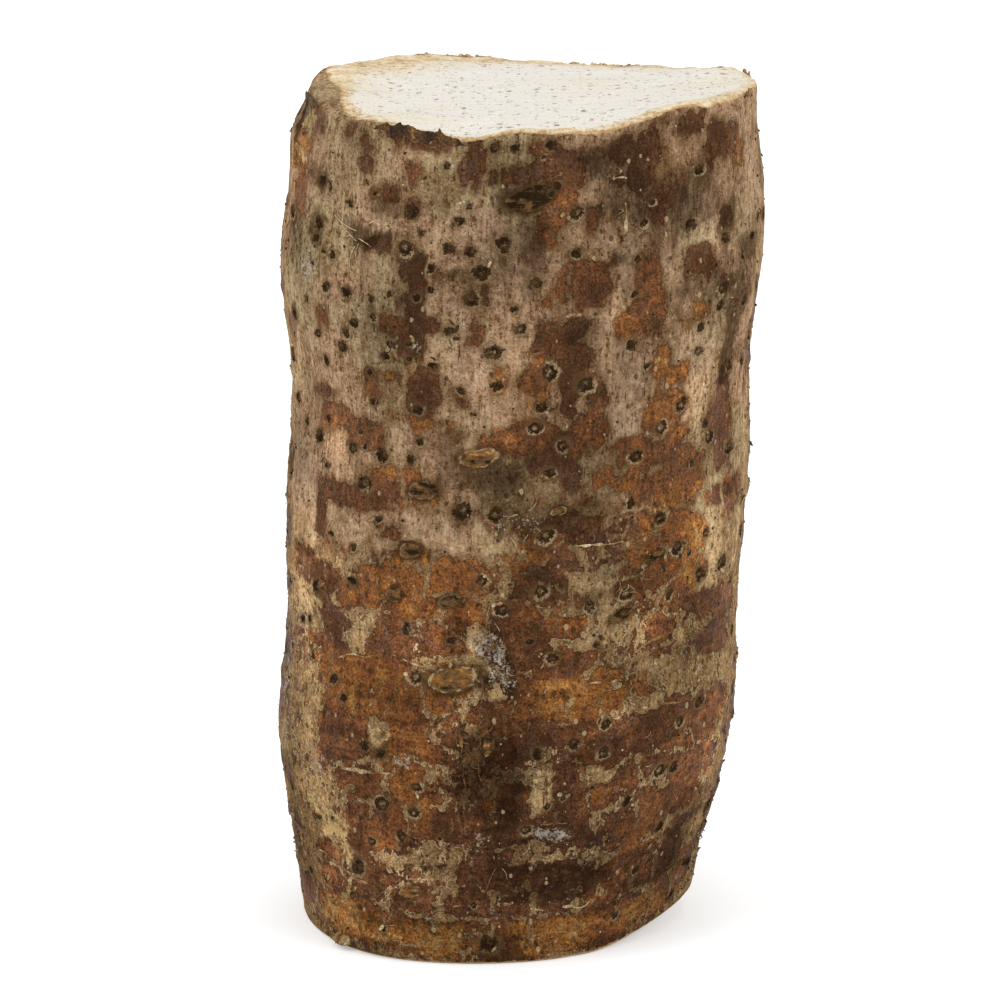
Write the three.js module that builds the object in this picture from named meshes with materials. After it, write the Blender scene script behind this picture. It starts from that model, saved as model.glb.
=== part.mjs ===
// A trimmed malanga corm, the thick underground stem of a taro or yautia.
// It grew as one piece, so it is one solid: a lathed barrel, drawn out of round
// by its lean and its swellings, cut across at both ends.
// Millimetres, +Z up. The front is towards -Y, and bearings run from the front
// towards +X. The origin is the middle of the box, on the lower cut face.
import * as THREE from "three";
import { mergeVertices } from "three/addons/utils/BufferGeometryUtils.js";

// Driving dimensions.
const LENGTH = 164; // along the axis, from cut face to cut face
const DEPTH_SHARE = 0.965; // front to back against side to side
const LEAN = 5.6; // how far the axis drifts towards +X over the length
const BOW = 0.8; // how far the axis bows towards +X at half height
const SIDES = 64; // facets round the girth
const SIDE_ROWS = 26; // rows of facets up the skin
const BASE_RINGS = [0, 0.3, 0.6, 0.85]; // rings of the lower cut, as shares of its radius
const TOP_RINGS = [0.9, 0.8, 0.6, 0.3, 0]; // rings of the upper cut, from the rim inwards

// The mean girth radius at stations up the corm, as [share of the length, radius].
const GIRTH = [
  [0.0, 38.6],
  [0.06, 40.2],
  [0.15, 42.8],
  [0.26, 45.1],
  [0.37, 44.3],
  [0.52, 45.0],
  [0.67, 44.8],
  [0.79, 46.6],
  [0.9, 45.6],
  [1.0, 44.6],
];

// Swellings and hollows of the skin. Bearings and spreads are in degrees,
// heights and reaches are shares of the length, and rises are in millimetres.
const SWELLINGS = [
  { bearing: -90, height: 0.8, spread: 42, reach: 0.08, rise: 0.5 },
  { bearing: -80, height: 0.27, spread: 38, reach: 0.09, rise: 0.3 },
  { bearing: -88, height: 0.66, spread: 34, reach: 0.07, rise: -0.4 },
  { bearing: 92, height: 0.36, spread: 40, reach: 0.08, rise: -0.2 },
  { bearing: 20, height: 0.52, spread: 40, reach: 0.16, rise: -0.6 },
  { bearing: 150, height: 0.45, spread: 45, reach: 0.2, rise: 1.4 },
  { bearing: 205, height: 0.72, spread: 36, reach: 0.12, rise: -1.3 },
  { bearing: -34, height: 0.0, spread: 26, reach: 0.08, rise: 2.6 },
  { bearing: 46, height: 0.0, spread: 32, reach: 0.12, rise: -3.2 },
  { bearing: 178, height: 0.12, spread: 50, reach: 0.12, rise: -2.0 },
];

// The upper cut: a dished plane that twists across the corm, with one shoulder pared away.
const TOP_CUT = {
  slopeX: 0.015,
  slopeY: 0.017,
  twist: -0.0013, // how the slope along Y changes per millimetre of X
  dish: 1.4,
  edge: 1.1,
  shoulder: { bearing: -88, spread: 38, drop: 2.0, width: 8, reach: 16 },
};

// The lower cut: flat where the corm stands, lifting towards +X.
const BASE_CUT = { flatTo: 14, liftTo: 38, lift: 4.6, edge: 1.2 };

const TURN = 2 * Math.PI;
const radians = THREE.MathUtils.degToRad;
const smooth = THREE.MathUtils.smoothstep;

/** The shortest way round from one bearing to another, in radians. */
function bearingGap(a, b) {
  return Math.atan2(Math.sin(a - b), Math.cos(a - b));
}

/** A bell that is 1 at nought and falls to 1/e at the width. */
function bell(distance, width) {
  return Math.exp(-((distance / width) ** 2));
}

/** The lathe profile, from the middle of the base out, up the skin and back in over the top. */
function profile() {
  const stations = GIRTH.map(([share, radius]) => new THREE.Vector2(radius, share * LENGTH));
  const skin = new THREE.SplineCurve(stations).getSpacedPoints(SIDE_ROWS);
  const foot = skin[0];
  const brow = skin[SIDE_ROWS];
  const ring = (radius, height) => new THREE.Vector2(radius, height);
  const base = BASE_RINGS.map((share) => ring(share * foot.x, 0));
  base.push(ring(foot.x - BASE_CUT.edge, 0), ring(foot.x, BASE_CUT.edge));
  const top = [ring(brow.x, LENGTH - TOP_CUT.edge), ring(brow.x - TOP_CUT.edge, LENGTH)];
  TOP_RINGS.forEach((share) => top.push(ring(share * brow.x, LENGTH)));
  return [...base, ...skin.slice(1, SIDE_ROWS), ...top];
}

/** How far the skin stands out or in at a bearing and a share of the length. */
function swelling(bearing, share) {
  return SWELLINGS.reduce((sum, s) => {
    const round = bell(bearingGap(bearing, radians(s.bearing)), radians(s.spread));
    return sum + s.rise * round * bell(share - s.height, s.reach);
  }, 0);
}

/** The height of the lower cut at a place. */
function baseCut(x) {
  return BASE_CUT.lift * smooth(x, BASE_CUT.flatTo, BASE_CUT.liftTo);
}

/** The height of the upper cut at a place, before the shoulder is pared. */
function topCut(x, y, brow) {
  const slopeY = TOP_CUT.slopeY + TOP_CUT.twist * x;
  return LENGTH + TOP_CUT.slopeX * x + slopeY * y + TOP_CUT.dish * (x / brow) ** 2;
}

/** How far the pared shoulder drops a point. */
function shoulderDrop(bearing, radius, height, brow) {
  const { bearing: at, spread, drop, width, reach } = TOP_CUT.shoulder;
  const round = bell(bearingGap(bearing, radians(at)), radians(spread));
  return drop * round * smooth(radius, brow - width, brow) * smooth(height, LENGTH - reach, LENGTH);
}

/** Moves a lathed point to its place on the real, out of round corm. */
function shapePoint(point, brow) {
  const bearing = Math.atan2(point.x, -point.y);
  const radius = Math.hypot(point.x, point.y);
  const share = point.z / LENGTH;
  const skinShare = Math.min(1, radius / brow); // swellings fade towards the axis
  const grown = radius + swelling(bearing, share) * skinShare;
  const x = grown * Math.sin(bearing) + LEAN * (share - 0.5) + BOW * Math.sin(Math.PI * share);
  const y = -grown * Math.cos(bearing) * DEPTH_SHARE;
  const low = baseCut(x);
  const z = low + (topCut(x, y, brow) - low) * share - shoulderDrop(bearing, radius, point.z, brow);
  return point.set(x, y, z);
}

/** The corm's closed surface, standing on its base with its box centred on the axes. */
function cormGeometry() {
  const lathe = new THREE.LatheGeometry(profile(), SIDES, 0, TURN).rotateX(Math.PI / 2);
  lathe.deleteAttribute("normal");
  lathe.deleteAttribute("uv");
  const geometry = mergeVertices(lathe, 1e-3);
  const brow = GIRTH.at(-1)[1];
  const places = geometry.getAttribute("position");
  const point = new THREE.Vector3();
  for (let i = 0; i < places.count; i += 1) {
    shapePoint(point.fromBufferAttribute(places, i), brow);
    places.setXYZ(i, point.x, point.y, point.z);
  }
  geometry.computeBoundingBox();
  const middle = geometry.boundingBox.getCenter(new THREE.Vector3());
  geometry.translate(-middle.x, -middle.y, 0);
  geometry.computeVertexNormals();
  return geometry;
}

const skinFinish = new THREE.MeshStandardMaterial({ color: 0x8b7057, roughness: 0.85, metalness: 0 });

const malanga = new THREE.Group();
malanga.name = "malanga";

const corm = new THREE.Mesh(cormGeometry(), skinFinish);
corm.name = "corm";
malanga.add(corm);

export default malanga;
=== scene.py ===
"""A trimmed malanga corm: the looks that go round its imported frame.

The classes below work in millimetres and turn into metres when a mesh is made. A place on
the skin is a bearing and a height. Bearings are in degrees, from the front (-Y) towards +X.
Heights run along the corm from the lower cut face to the upper one.
"""

import logging
from dataclasses import dataclass, field
from enum import Enum
from typing import Optional, Sequence, Union

import bpy
import numpy as np
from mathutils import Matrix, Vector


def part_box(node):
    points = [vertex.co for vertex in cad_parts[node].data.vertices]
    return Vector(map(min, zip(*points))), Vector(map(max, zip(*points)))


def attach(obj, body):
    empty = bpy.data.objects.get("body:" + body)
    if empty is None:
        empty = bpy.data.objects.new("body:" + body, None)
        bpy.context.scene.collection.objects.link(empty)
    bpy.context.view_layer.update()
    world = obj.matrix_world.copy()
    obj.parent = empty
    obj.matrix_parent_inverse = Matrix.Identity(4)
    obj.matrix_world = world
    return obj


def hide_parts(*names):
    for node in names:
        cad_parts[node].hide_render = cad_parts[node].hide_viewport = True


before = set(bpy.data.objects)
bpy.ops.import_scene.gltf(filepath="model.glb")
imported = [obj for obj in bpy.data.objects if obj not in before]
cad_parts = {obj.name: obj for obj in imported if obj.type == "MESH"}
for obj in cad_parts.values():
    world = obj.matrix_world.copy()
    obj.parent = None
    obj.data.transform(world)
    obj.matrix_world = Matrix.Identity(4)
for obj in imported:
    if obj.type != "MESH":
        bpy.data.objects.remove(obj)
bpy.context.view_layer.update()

log = logging.getLogger("malanga")

MM = 0.001
BODY = "root"
NODE = "corm"
SEED = 20
SKIN_RADIUS = 45.0  # the mean girth radius, which turns a bearing into an arc length
ARC_PER_DEGREE = SKIN_RADIUS * np.pi / 180.0
WALKED_HEIGHTS = (2.0, 161.0)  # the lowest and highest place that flakes and hairs reach

Array = np.ndarray
Socket = bpy.types.NodeSocket
Feed = Union[float, tuple, Socket]


# --- Curves and noise ---


def smoothstep(value: Array, low: float, high: float) -> Array:
    """The cubic 3t^2 - 2t^3 of how far a value has gone from low to high, held to 0..1.

    Args:
        value: The values to ease.
        low: Where the result leaves 0.
        high: Where the result reaches 1.

    Returns:
        The eased values.
    """
    t = np.clip((value - low) / (high - low), 0.0, 1.0)
    return t * t * (3.0 - 2.0 * t)


def bell(distance: Array, width: float) -> Array:
    """exp(-(distance / width)^2), which is 1 at nought and 1/e at the width."""
    return np.exp(-((distance / width) ** 2))


def bearing_gap(a: Array, b: float) -> Array:
    """The shortest way round from bearing b to bearing a, in degrees, in -180..180."""
    return (a - b + 180.0) % 360.0 - 180.0


def lattice_value(cell: Array, seed: int) -> Array:
    """A repeatable random number in -1..1 for each whole-numbered cell.

    The cell's three numbers are multiplied by large primes, mixed with xor and shifted.

    Args:
        cell: Cell numbers, with the last axis holding x, y and z.
        seed: Which set of numbers to use.

    Returns:
        One number for each cell.
    """
    primes = np.array([73856093, 19349663, 83492791], np.int64)
    mixed = np.bitwise_xor.reduce(cell.astype(np.int64) * primes, axis=-1) ^ (seed * 668265263)
    mixed = ((mixed ^ (mixed >> 13)) * 1274126177) & 0xFFFFFFFF
    mixed = ((mixed ^ (mixed >> 15)) * 2246822519) & 0xFFFFFFFF
    return (mixed >> 8).astype(float) / float(0x7FFFFF) - 1.0


def cloud(points: Array, size: float, seed: int, octaves: int = 3) -> Array:
    """Smooth noise in about -1..1 at points in space.

    Each octave blends the random numbers at a point's eight lattice corners by the eased
    share of the way across the cell. The next octave has half the size and 0.55 of the height.

    Args:
        points: Places, with the last axis holding x, y and z.
        size: The lattice spacing of the coarsest octave, in the points' own unit.
        seed: Which noise to use.
        octaves: How many octaves are summed.

    Returns:
        One value for each point.
    """
    total = np.zeros(points.shape[:-1])
    height, spacing, weight = 1.0, size, 0.0
    for octave in range(octaves):
        scaled = points / spacing
        corner = np.floor(scaled)
        share = scaled - corner
        share = share * share * (3.0 - 2.0 * share)
        value = np.zeros(points.shape[:-1])
        for step in np.ndindex(2, 2, 2):
            toward = np.array(step)
            blend = np.prod(np.where(toward, share, 1.0 - share), axis=-1)
            value += blend * lattice_value(corner + toward, seed + 31 * octave)
        total += height * value
        weight += height
        height *= 0.55
        spacing *= 0.5
    return total / weight * 1.6


# --- The corm's form ---


@dataclass(frozen=True)
class Swelling:
    """A rise or hollow of the skin, as a bell round the girth times a bell along the length."""

    bearing: float
    height: float  # share of the length
    spread: float  # degrees
    reach: float  # share of the length
    rise: float  # millimetres


@dataclass(frozen=True)
class Form:
    """The corm's smooth outer shape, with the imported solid's own dimensions but for the pared
    shoulder, which is smaller here.
    """

    length: float = 164.0
    depth_share: float = 0.965  # front to back against side to side
    lean: float = 5.6  # drift of the axis towards +X
    bow: float = 0.8
    edge: float = 1.2  # how far the rims of the two cuts are rounded
    stations: tuple = (
        (0.0, 38.6), (0.06, 40.2), (0.15, 42.8), (0.26, 45.1), (0.37, 44.3),
        (0.52, 45.0), (0.67, 44.8), (0.79, 46.6), (0.9, 45.6), (1.0, 44.6),
    )  # share of the length, mean radius
    swellings: tuple = (
        Swelling(-90, 0.8, 42, 0.08, 0.5),
        Swelling(-80, 0.27, 38, 0.09, 0.3),
        Swelling(-88, 0.66, 34, 0.07, -0.4),
        Swelling(92, 0.36, 40, 0.08, -0.2),
        Swelling(20, 0.52, 40, 0.16, -0.6),
        Swelling(150, 0.45, 45, 0.2, 1.4),
        Swelling(205, 0.72, 36, 0.12, -1.3),
        Swelling(-34, 0.0, 26, 0.08, 2.6),
        Swelling(46, 0.0, 32, 0.12, -3.2),
        Swelling(178, 0.12, 50, 0.12, -2.0),
    )
    top_slope_x: float = 0.015
    top_slope_y: float = 0.017
    top_twist: float = -0.0013
    top_dish: float = 1.4
    shoulder: Swelling = Swelling(-92, 1.0, 34, 9.0, -1.5)  # its reach is in millimetres
    shoulder_width: float = 8.0
    base_flat_to: float = 14.0
    base_lift_to: float = 38.0
    base_lift: float = 4.6

    def brow(self) -> float:
        """The mean radius of the upper rim."""
        return self.stations[-1][1]

    def foot(self) -> float:
        """The mean radius of the lower rim."""
        return self.stations[0][1]

    def girth(self, height: Array) -> Array:
        """The mean radius at a height, on a Catmull-Rom curve through the stations.

        For stations p0..p3 and t in 0..1 between p1 and p2 the curve is
        p1 + v1 t + (3(p2 - p1) - 2v1 - v2) t^2 + (2(p1 - p2) + v1 + v2) t^3,
        with v1 = (p2 - p0) / 2 and v2 = (p3 - p1) / 2.

        Args:
            height: Heights along the corm.

        Returns:
            The radius at each height.
        """
        knots = np.array(self.stations) * (self.length, 1.0)
        padded = np.vstack([knots[:1], knots, knots[-1:]])
        t = np.linspace(0.0, 1.0, 24)[:, None]
        spans = []
        for p0, p1, p2, p3 in zip(padded, padded[1:], padded[2:], padded[3:]):
            v1, v2 = (p2 - p0) / 2.0, (p3 - p1) / 2.0
            square = 3.0 * (p2 - p1) - 2.0 * v1 - v2
            cube = 2.0 * (p1 - p2) + v1 + v2
            spans.append(p1 + v1 * t + square * t**2 + cube * t**3)
        curve = np.vstack(spans)
        return np.interp(height, curve[:, 0], curve[:, 1])

    def place(self, bearing: Array, radius: Array, height: Array) -> Array:
        """The point in space for a bearing, a mean radius and a height.

        The swellings are added to the radius, fading towards the axis. The ring is then
        flattened front to back, moved along the lean and the bow, and stretched between the
        lower and upper cuts: z = low + (top - low) * share.

        Args:
            bearing: Bearings in degrees.
            radius: Mean radii.
            height: Heights along the corm.

        Returns:
            Points in millimetres, before the box is centred on the axes.
        """
        share = height / self.length
        skin_share = np.minimum(1.0, radius / self.brow())
        grown = radius + skin_share * sum(
            s.rise * bell(bearing_gap(bearing, s.bearing), s.spread) * bell(share - s.height, s.reach)
            for s in self.swellings
        )
        angle = np.radians(bearing)
        x = grown * np.sin(angle) + self.lean * (share - 0.5) + self.bow * np.sin(np.pi * share)
        y = -grown * np.cos(angle) * self.depth_share
        low = self.base_lift * smoothstep(x, self.base_flat_to, self.base_lift_to)
        slope_y = self.top_slope_y + self.top_twist * x
        dish = self.top_dish * (x / self.brow()) ** 2
        top = self.length + self.top_slope_x * x + slope_y * y + dish
        pare = bell(bearing_gap(bearing, self.shoulder.bearing), self.shoulder.spread)
        pare = pare * smoothstep(radius, self.brow() - self.shoulder_width, self.brow())
        pare = pare * smoothstep(height, self.length - self.shoulder.reach, self.length)
        z = low + (top - low) * share + self.shoulder.rise * pare
        return np.stack([x, y, z], axis=-1)


# --- The marks on the skin ---


class Layer(Enum):
    """What lies at a marked place."""

    BARE = "bare"  # the papery skin is gone, and the coloured under-skin shows
    SOIL = "soil"  # ground-in soil
    CREAM = "cream"  # peeled to the pale wood-coloured flesh
    FROST = "frost"  # a dried white bloom
    PALE = "pale"  # smoother and lighter papery skin
    PIT = "pit"  # a hollow


@dataclass(frozen=True)
class Mark:
    """A rounded oblong on the skin."""

    bearing: float
    height: float
    wide: float  # half width, degrees
    tall: float  # half height, millimetres
    shade: float  # tone, strength or depth, as the mark's table says
    tilt: float = 0.0  # degrees, rising towards +X


# Bare patches. Their shade runs from maroon (0) through red-brown, orange and amber to ochre (1).
BARE_MARKS = (
    (-13, 160, 3.2, 3.8, 0.2), (-14.5, 157, 2.4, 2.4, 0.15), (-28.9, 156.9, 1.5, 1.6, 0.3, 35),
    (-41.7, 156.7, 1.7, 1.3, 0.25), (-41.8, 160.3, 0.9, 2, 0.3), (-34, 151.6, 2.8, 1.6, 0.2),
    (-33, 162.4, 4, 1.3, 0.1), (-47.6, 161.4, 1.2, 0.9, 0.3), (-37, 142.4, 3.6, 2, 0.08, -20),
    (-28.3, 149.3, 1.7, 1.4, 0.2), (-73, 155.5, 6, 4, 0.9), (-70, 148, 5, 5, 0.55),
    (-64, 161, 4, 2, 0.4), (-17.5, 137, 4, 1.4, 0.25), (-22.5, 128, 3.2, 1.3, 0.28),
    (-33, 127.5, 4, 2.2, 0.38), (-11.8, 126.5, 2, 3, 0.3), (-8.5, 134, 1.1, 1.3, 0.35),
    (-15.4, 113.2, 2.2, 1.6, 0.4), (-25, 114, 4, 5, 0.15), (-26.5, 127, 3.2, 7, 0.12),
    (-27, 137.5, 3.4, 3.4, 0.1), (-5.8, 116.3, 1.4, 2.3, 0.85), (-54.7, 126, 3, 2.2, 0.4),
    (-38, 115, 3, 3, 0.35), (-33, 116.4, 1.6, 1, 0.6), (-56, 111, 4, 1.2, 0.3),
    (-4, 156.5, 5, 1.5, 0.1), (3, 157.6, 3.4, 2.3, 0.18), (8.5, 158, 2.8, 2.4, 0.2),
    (11, 154.8, 2.2, 2, 0.18), (27, 158.5, 7, 3.4, 0.2), (27, 154, 4, 2.2, 0.15),
    (43, 160.3, 2.9, 3, 0.15), (52, 157, 3, 4, 0.12), (4.6, 151, 4.6, 1.6, 0.6),
    (6.6, 147.2, 3, 1.9, 0.22), (6, 144, 2.4, 1.4, 0.45), (17.5, 147, 2, 2.4, 0.35),
    (33.5, 147, 1.6, 3, 0.22), (15.5, 136, 4.6, 3.2, 0.36), (17, 132.6, 3, 2, 0.25),
    (8.5, 135.5, 1.2, 2, 0.5), (6.5, 131.5, 1.7, 1.1, 0.65), (30.5, 133, 2.4, 5, 0.4),
    (46, 134, 3.6, 3, 0.3), (56.5, 142, 3, 2.4, 0.2), (62.5, 152.5, 3.2, 2.6, 0.75),
    (58.5, 156, 3, 3, 0.4), (48, 124, 4.6, 1.5, 0.8), (4.6, 125, 4, 4.3, 0.35),
    (13, 126.4, 3.6, 1.9, 0.05), (13, 121.6, 3.2, 1.9, 0.03), (11.3, 115, 2.4, 5.4, 0.1),
    (31.7, 125.2, 2.6, 4.3, 0.25), (25, 125, 3.4, 2.6, 0.85), (2.6, 115.6, 3.4, 2.4, 0.42),
    (35.5, 116, 3.4, 3.6, 0.75), (40, 112.6, 2.8, 2, 0.7), (18.6, 113, 1.8, 3, 0.3),
    (-52, 106, 6, 2.5, 0.35), (-42, 105.5, 5, 3, 0.35), (-25, 108.2, 6.5, 0.9, 0.9, -8),
    (-4, 105.5, 4.6, 2.6, 0.5), (-36, 97.4, 4.6, 1.8, 0.65), (-26.5, 98, 2.8, 1.1, 0.6),
    (-23.9, 95.2, 3.4, 1.9, 0.4), (-45, 92.3, 14.5, 2.3, 0.2), (-36, 94.5, 5, 1.5, 0.4),
    (-57, 86, 3.2, 4.6, 0.12), (-33, 86, 4, 1.6, 0.35), (-27, 83, 3, 1.4, 0.3),
    (-21, 80, 10, 2, 0.7), (-24.5, 74.5, 6, 4.6, 0.55), (-16.5, 76.4, 5, 3.6, 0.45),
    (-7, 76, 4.4, 3.8, 0.35), (-12, 71.5, 4, 1.6, 0.5), (-38, 76.5, 4.6, 2.6, 0.52),
    (-42.5, 72.2, 7.5, 1.9, 0.45), (-56, 74.5, 4.6, 2.2, 0.25), (-65, 75.5, 4.6, 3, 0.25),
    (-52.5, 65.2, 5.4, 4.6, 0.05), (-58, 69, 3, 1.5, 0.1), (-29.5, 65.4, 6, 4.6, 0.15),
    (-36, 63.8, 3, 2.5, 0.3), (-18, 65.5, 4.4, 2.6, 0.2), (-14.5, 58.3, 5.4, 2.1, 0.75),
    (-38, 57.5, 17, 3.6, 0.55), (-30, 53, 16, 3, 0.48), (-60, 62, 3, 2, 0.3),
    (-68, 61, 4, 1.6, 0.3), (3, 106, 7, 3, 0.3), (8, 103, 5, 3, 0.3), (17, 105.5, 4, 4, 0.5),
    (28, 101.6, 6.5, 1.3, 0.65, -10), (36.5, 106, 5.4, 3.6, 0.6), (43.5, 101.5, 2.6, 1.3, 0.7),
    (33, 98, 9, 2.3, 0.45), (24.5, 95, 4.6, 1.9, 0.65, -25), (45.5, 94.4, 8, 2.8, 0.4, -12),
    (36, 92, 6, 2, 0.55), (39.5, 87, 9, 4.4, 0.68), (33, 90, 4, 4, 0.3), (37, 81.5, 7, 3, 0.5),
    (48, 80, 4.6, 4.2, 0.8), (51.5, 76.5, 2, 2.4, 0.85), (51, 90, 4.5, 1.9, 0.8),
    (38, 74.6, 9.5, 4, 0.4), (47, 73, 3.4, 3.4, 0.75), (42, 66.4, 9, 3.6, 0.22),
    (56, 65, 5, 3.0, 0.3), (66, 64.6, 7, 2.9, 0.4), (13.5, 97, 2.8, 2.6, 0.15),
    (16, 88.2, 7.4, 2, 0.08), (19, 81.9, 6.4, 1.9, 0.15), (5, 77, 5.6, 3.6, 0.15),
    (62, 85.6, 7.6, 2.2, 0.3, -6), (64, 83.2, 5, 1.4, 0.35), (60, 101.5, 5.6, 4.6, 0.25),
    (61, 94, 3, 3, 0.3), (61.5, 108, 3, 3, 0.25), (4, 65, 7.6, 4.6, 0.08), (13, 68.6, 4.6, 1, 0.5),
    (13.5, 61.6, 10, 1.9, 0.15), (36, 60.6, 6, 2.6, 0.3), (16, 57, 9.6, 2, 0.7),
    (61, 57, 10, 3, 0.35), (1, 70.5, 3, 2, 0.3), (10, 99.5, 4, 1.3, 0.3), (-45, 43.5, 8, 6.4, 0.2),
    (-44, 51, 8, 3, 0.5), (-24, 47, 5.6, 3.2, 0.45), (-14, 45, 3.2, 3, 0.05), (-5, 52, 4, 3, 0.1),
    (-37, 34.2, 9.4, 4, 0.3), (-24, 35.5, 6, 4.6, 0.62), (-30, 28.4, 13, 2.2, 0.35),
    (-13, 28, 9, 2.6, 0.1), (-52, 19.3, 3.4, 1.4, 0.25), (-41, 22, 3, 3.4, 0.05),
    (-40, 13.6, 13, 2.8, 0.03), (-20, 11, 12, 2, 0.12), (-6, 17, 7, 5, 0.2),
    (-40, 6.5, 20, 3.4, 0.72), (-15, 5, 6, 3.2, 0.85), (5, 46.4, 7.6, 4, 0.1),
    (17, 46.6, 5, 3.8, 0.18), (16.5, 53, 13, 1.9, 0.68), (23.5, 43.6, 4, 2.2, 0.06),
    (38, 43.6, 11, 4.2, 0.12), (33, 35.4, 6.6, 2.6, 0.12), (25, 34, 3, 3, 0.4),
    (14.5, 35, 2.8, 5.4, 0.0), (2, 33, 3.6, 4.6, 0.05), (58, 41, 6, 3.4, 0.2), (64, 45, 4, 2, 0.3),
    (57, 32.5, 8, 2.6, 0.25), (14, 26.4, 16, 3.2, 0.02), (38, 25.2, 7, 3.3, 0.55),
    (51, 26, 7, 2.8, 0.25), (15, 16.4, 17, 3.2, 0.1), (46, 15, 12, 4, 0.1),
    (17, 5.4, 15, 3.6, 0.74), (36, 9.4, 8, 1.6, 0.1), (48, 4.6, 12, 2.2, 0.75),
    (-28, 161.5, 7, 1.4, 0.2), (-78, 160, 6, 2.4, 0.1), (42, 1.6, 8, 1.2, 0.2),
    (64, 9, 8, 3.6, 0.3), (2, 11, 8, 1.4, 0.1),
)

# Soil. Its shade is how thickly it lies.
SOIL_MARKS = (
    (-35.4, 149.3, 2.2, 1.4, 0.8), (-62.5, 152.5, 2.4, 1.5, 0.7), (-57.9, 151.9, 1.2, 1.4, 0.8),
    (-43, 143.6, 3, 2.2, 0.9), (-58.3, 143, 1.5, 2, 0.8), (-26.5, 133, 2.6, 8, 0.45),
    (-26.3, 124.5, 2.6, 5, 0.5), (-25, 114.5, 2.2, 4.5, 0.4), (-36, 122, 5.4, 5.5, 0.35),
    (-72, 141.5, 3, 1.6, 0.6), (34, 152, 14, 9, 0.5), (45, 151, 6, 5, 0.8),
    (2, 152.8, 4.6, 1.7, 0.6), (3, 143, 2.4, 5, 0.7), (1.5, 135, 1.5, 3, 0.6),
    (-3, 152.3, 3.6, 1.8, 0.9), (16, 157.5, 3, 2.4, 0.9), (27, 156, 7, 4.2, 0.4),
    (45, 153, 6.4, 3.2, 0.7), (52.5, 156.5, 3.4, 4, 0.4), (46, 148, 7.5, 4.2, 0.5),
    (28, 147, 5.4, 4.4, 0.7), (37, 143, 6, 3, 0.35), (22, 150, 3, 2, 0.4), (35, 160, 3, 2, 0.4),
    (56.5, 141.5, 3.2, 2.6, 0.6), (47, 131.5, 7, 3.6, 0.45), (68, 133.6, 5.4, 1.9, 0.7),
    (51, 128.3, 10, 1.8, 0.7), (63, 124, 5, 2.4, 0.7), (62, 119, 3.6, 3, 0.7),
    (60, 112.5, 4, 3, 0.75), (66, 113.5, 5, 1, 0.6), (21.5, 139, 1.8, 1, 0.8),
    (25, 133, 1.2, 3, 0.4), (13, 125, 3, 1.2, 0.6), (11, 113, 2, 3, 0.4), (-17, 103, 3, 3.6, 0.6),
    (-12, 97.5, 6, 2.4, 0.7), (-5, 97, 6, 3.6, 0.7), (-2, 90, 3, 2.4, 0.6), (2, 104, 5, 4, 0.5),
    (10, 103, 3, 3, 0.4), (4, 86.5, 4.4, 3.6, 0.8), (3, 76, 5, 7, 0.5), (17, 88, 6, 2.4, 0.5),
    (65.5, 86, 3, 1.4, 0.6), (64, 79, 5, 1.6, 0.5), (-57, 74, 5, 3.4, 0.5),
    (-63, 78.6, 5, 0.9, 0.7), (-50, 81, 3, 1.2, 0.4), (6, 75, 5, 2.4, 0.6), (-4, 67, 3, 4, 0.6),
    (-14, 65, 1.6, 4, 0.7), (-3, 60, 4, 5, 0.7), (28, 73, 5, 1, 0.7), (19, 72, 5, 1.2, 0.5),
    (-6, 41, 7, 9, 0.9), (-1, 34, 5, 6, 0.85), (15, 88, 12, 4, 0.65), (-12, 38.5, 2.6, 2.8, 0.5),
    (-62, 22, 8, 6, 0.5), (-70, 30, 8, 10, 0.3), (-70, 14, 10, 6, 0.4), (-42, 24, 3, 3, 0.4),
    (-14, 17, 6, 3.4, 0.55), (-34, 43, 4, 2, 0.6), (24, 43.5, 4, 2.6, 0.5),
    (15, 16.5, 17, 3.4, 0.75), (52, 14.5, 12, 4.6, 0.7), (60, 22, 8, 5, 0.5),
    (2, 3.2, 5.4, 3.6, 0.85), (34, 9.4, 8, 1.2, 0.4), (-33, 7.4, 6, 1.2, 0.6),
    (-81, 160, 2.2, 1.6, 0.9), (-40, 1.5, 10, 1, 0.6), (-20, 8.6, 5, 1, 0.5), (40, 1.2, 9, 1, 0.6),
    (10, 27, 12, 3, 0.3),
)

# Places peeled to the pale flesh. Their shade is their brightness.
CREAM_MARKS = (
    (-73, 154, 2.6, 0.9, 1), (-57, 28.4, 5.6, 2.4, 1, -25), (-50.5, 24.6, 5.8, 3.3, 1, -20),
    (-47, 20.4, 2.8, 3.2, 1), (-61, 32.5, 3.4, 1.8, 0.8, -50), (-72, 160, 4, 1.5, 0.5),
    (-46.5, 136.6, 2, 0.7, 0.7), (-8, 61, 2.6, 0.8, 0.4), (-4, 55.6, 2.0, 0.9, 0.4),
    (14, 54, 1.2, 0.7, 0.5), (7.6, 42.6, 2.2, 0.9, 0.7), (23, 49, 2.0, 0.9, 0.4),
    (-58, 66, 4, 0.8, 0.4, -40), (-34.5, 46, 2.6, 1.5, 0.7),
)

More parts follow.
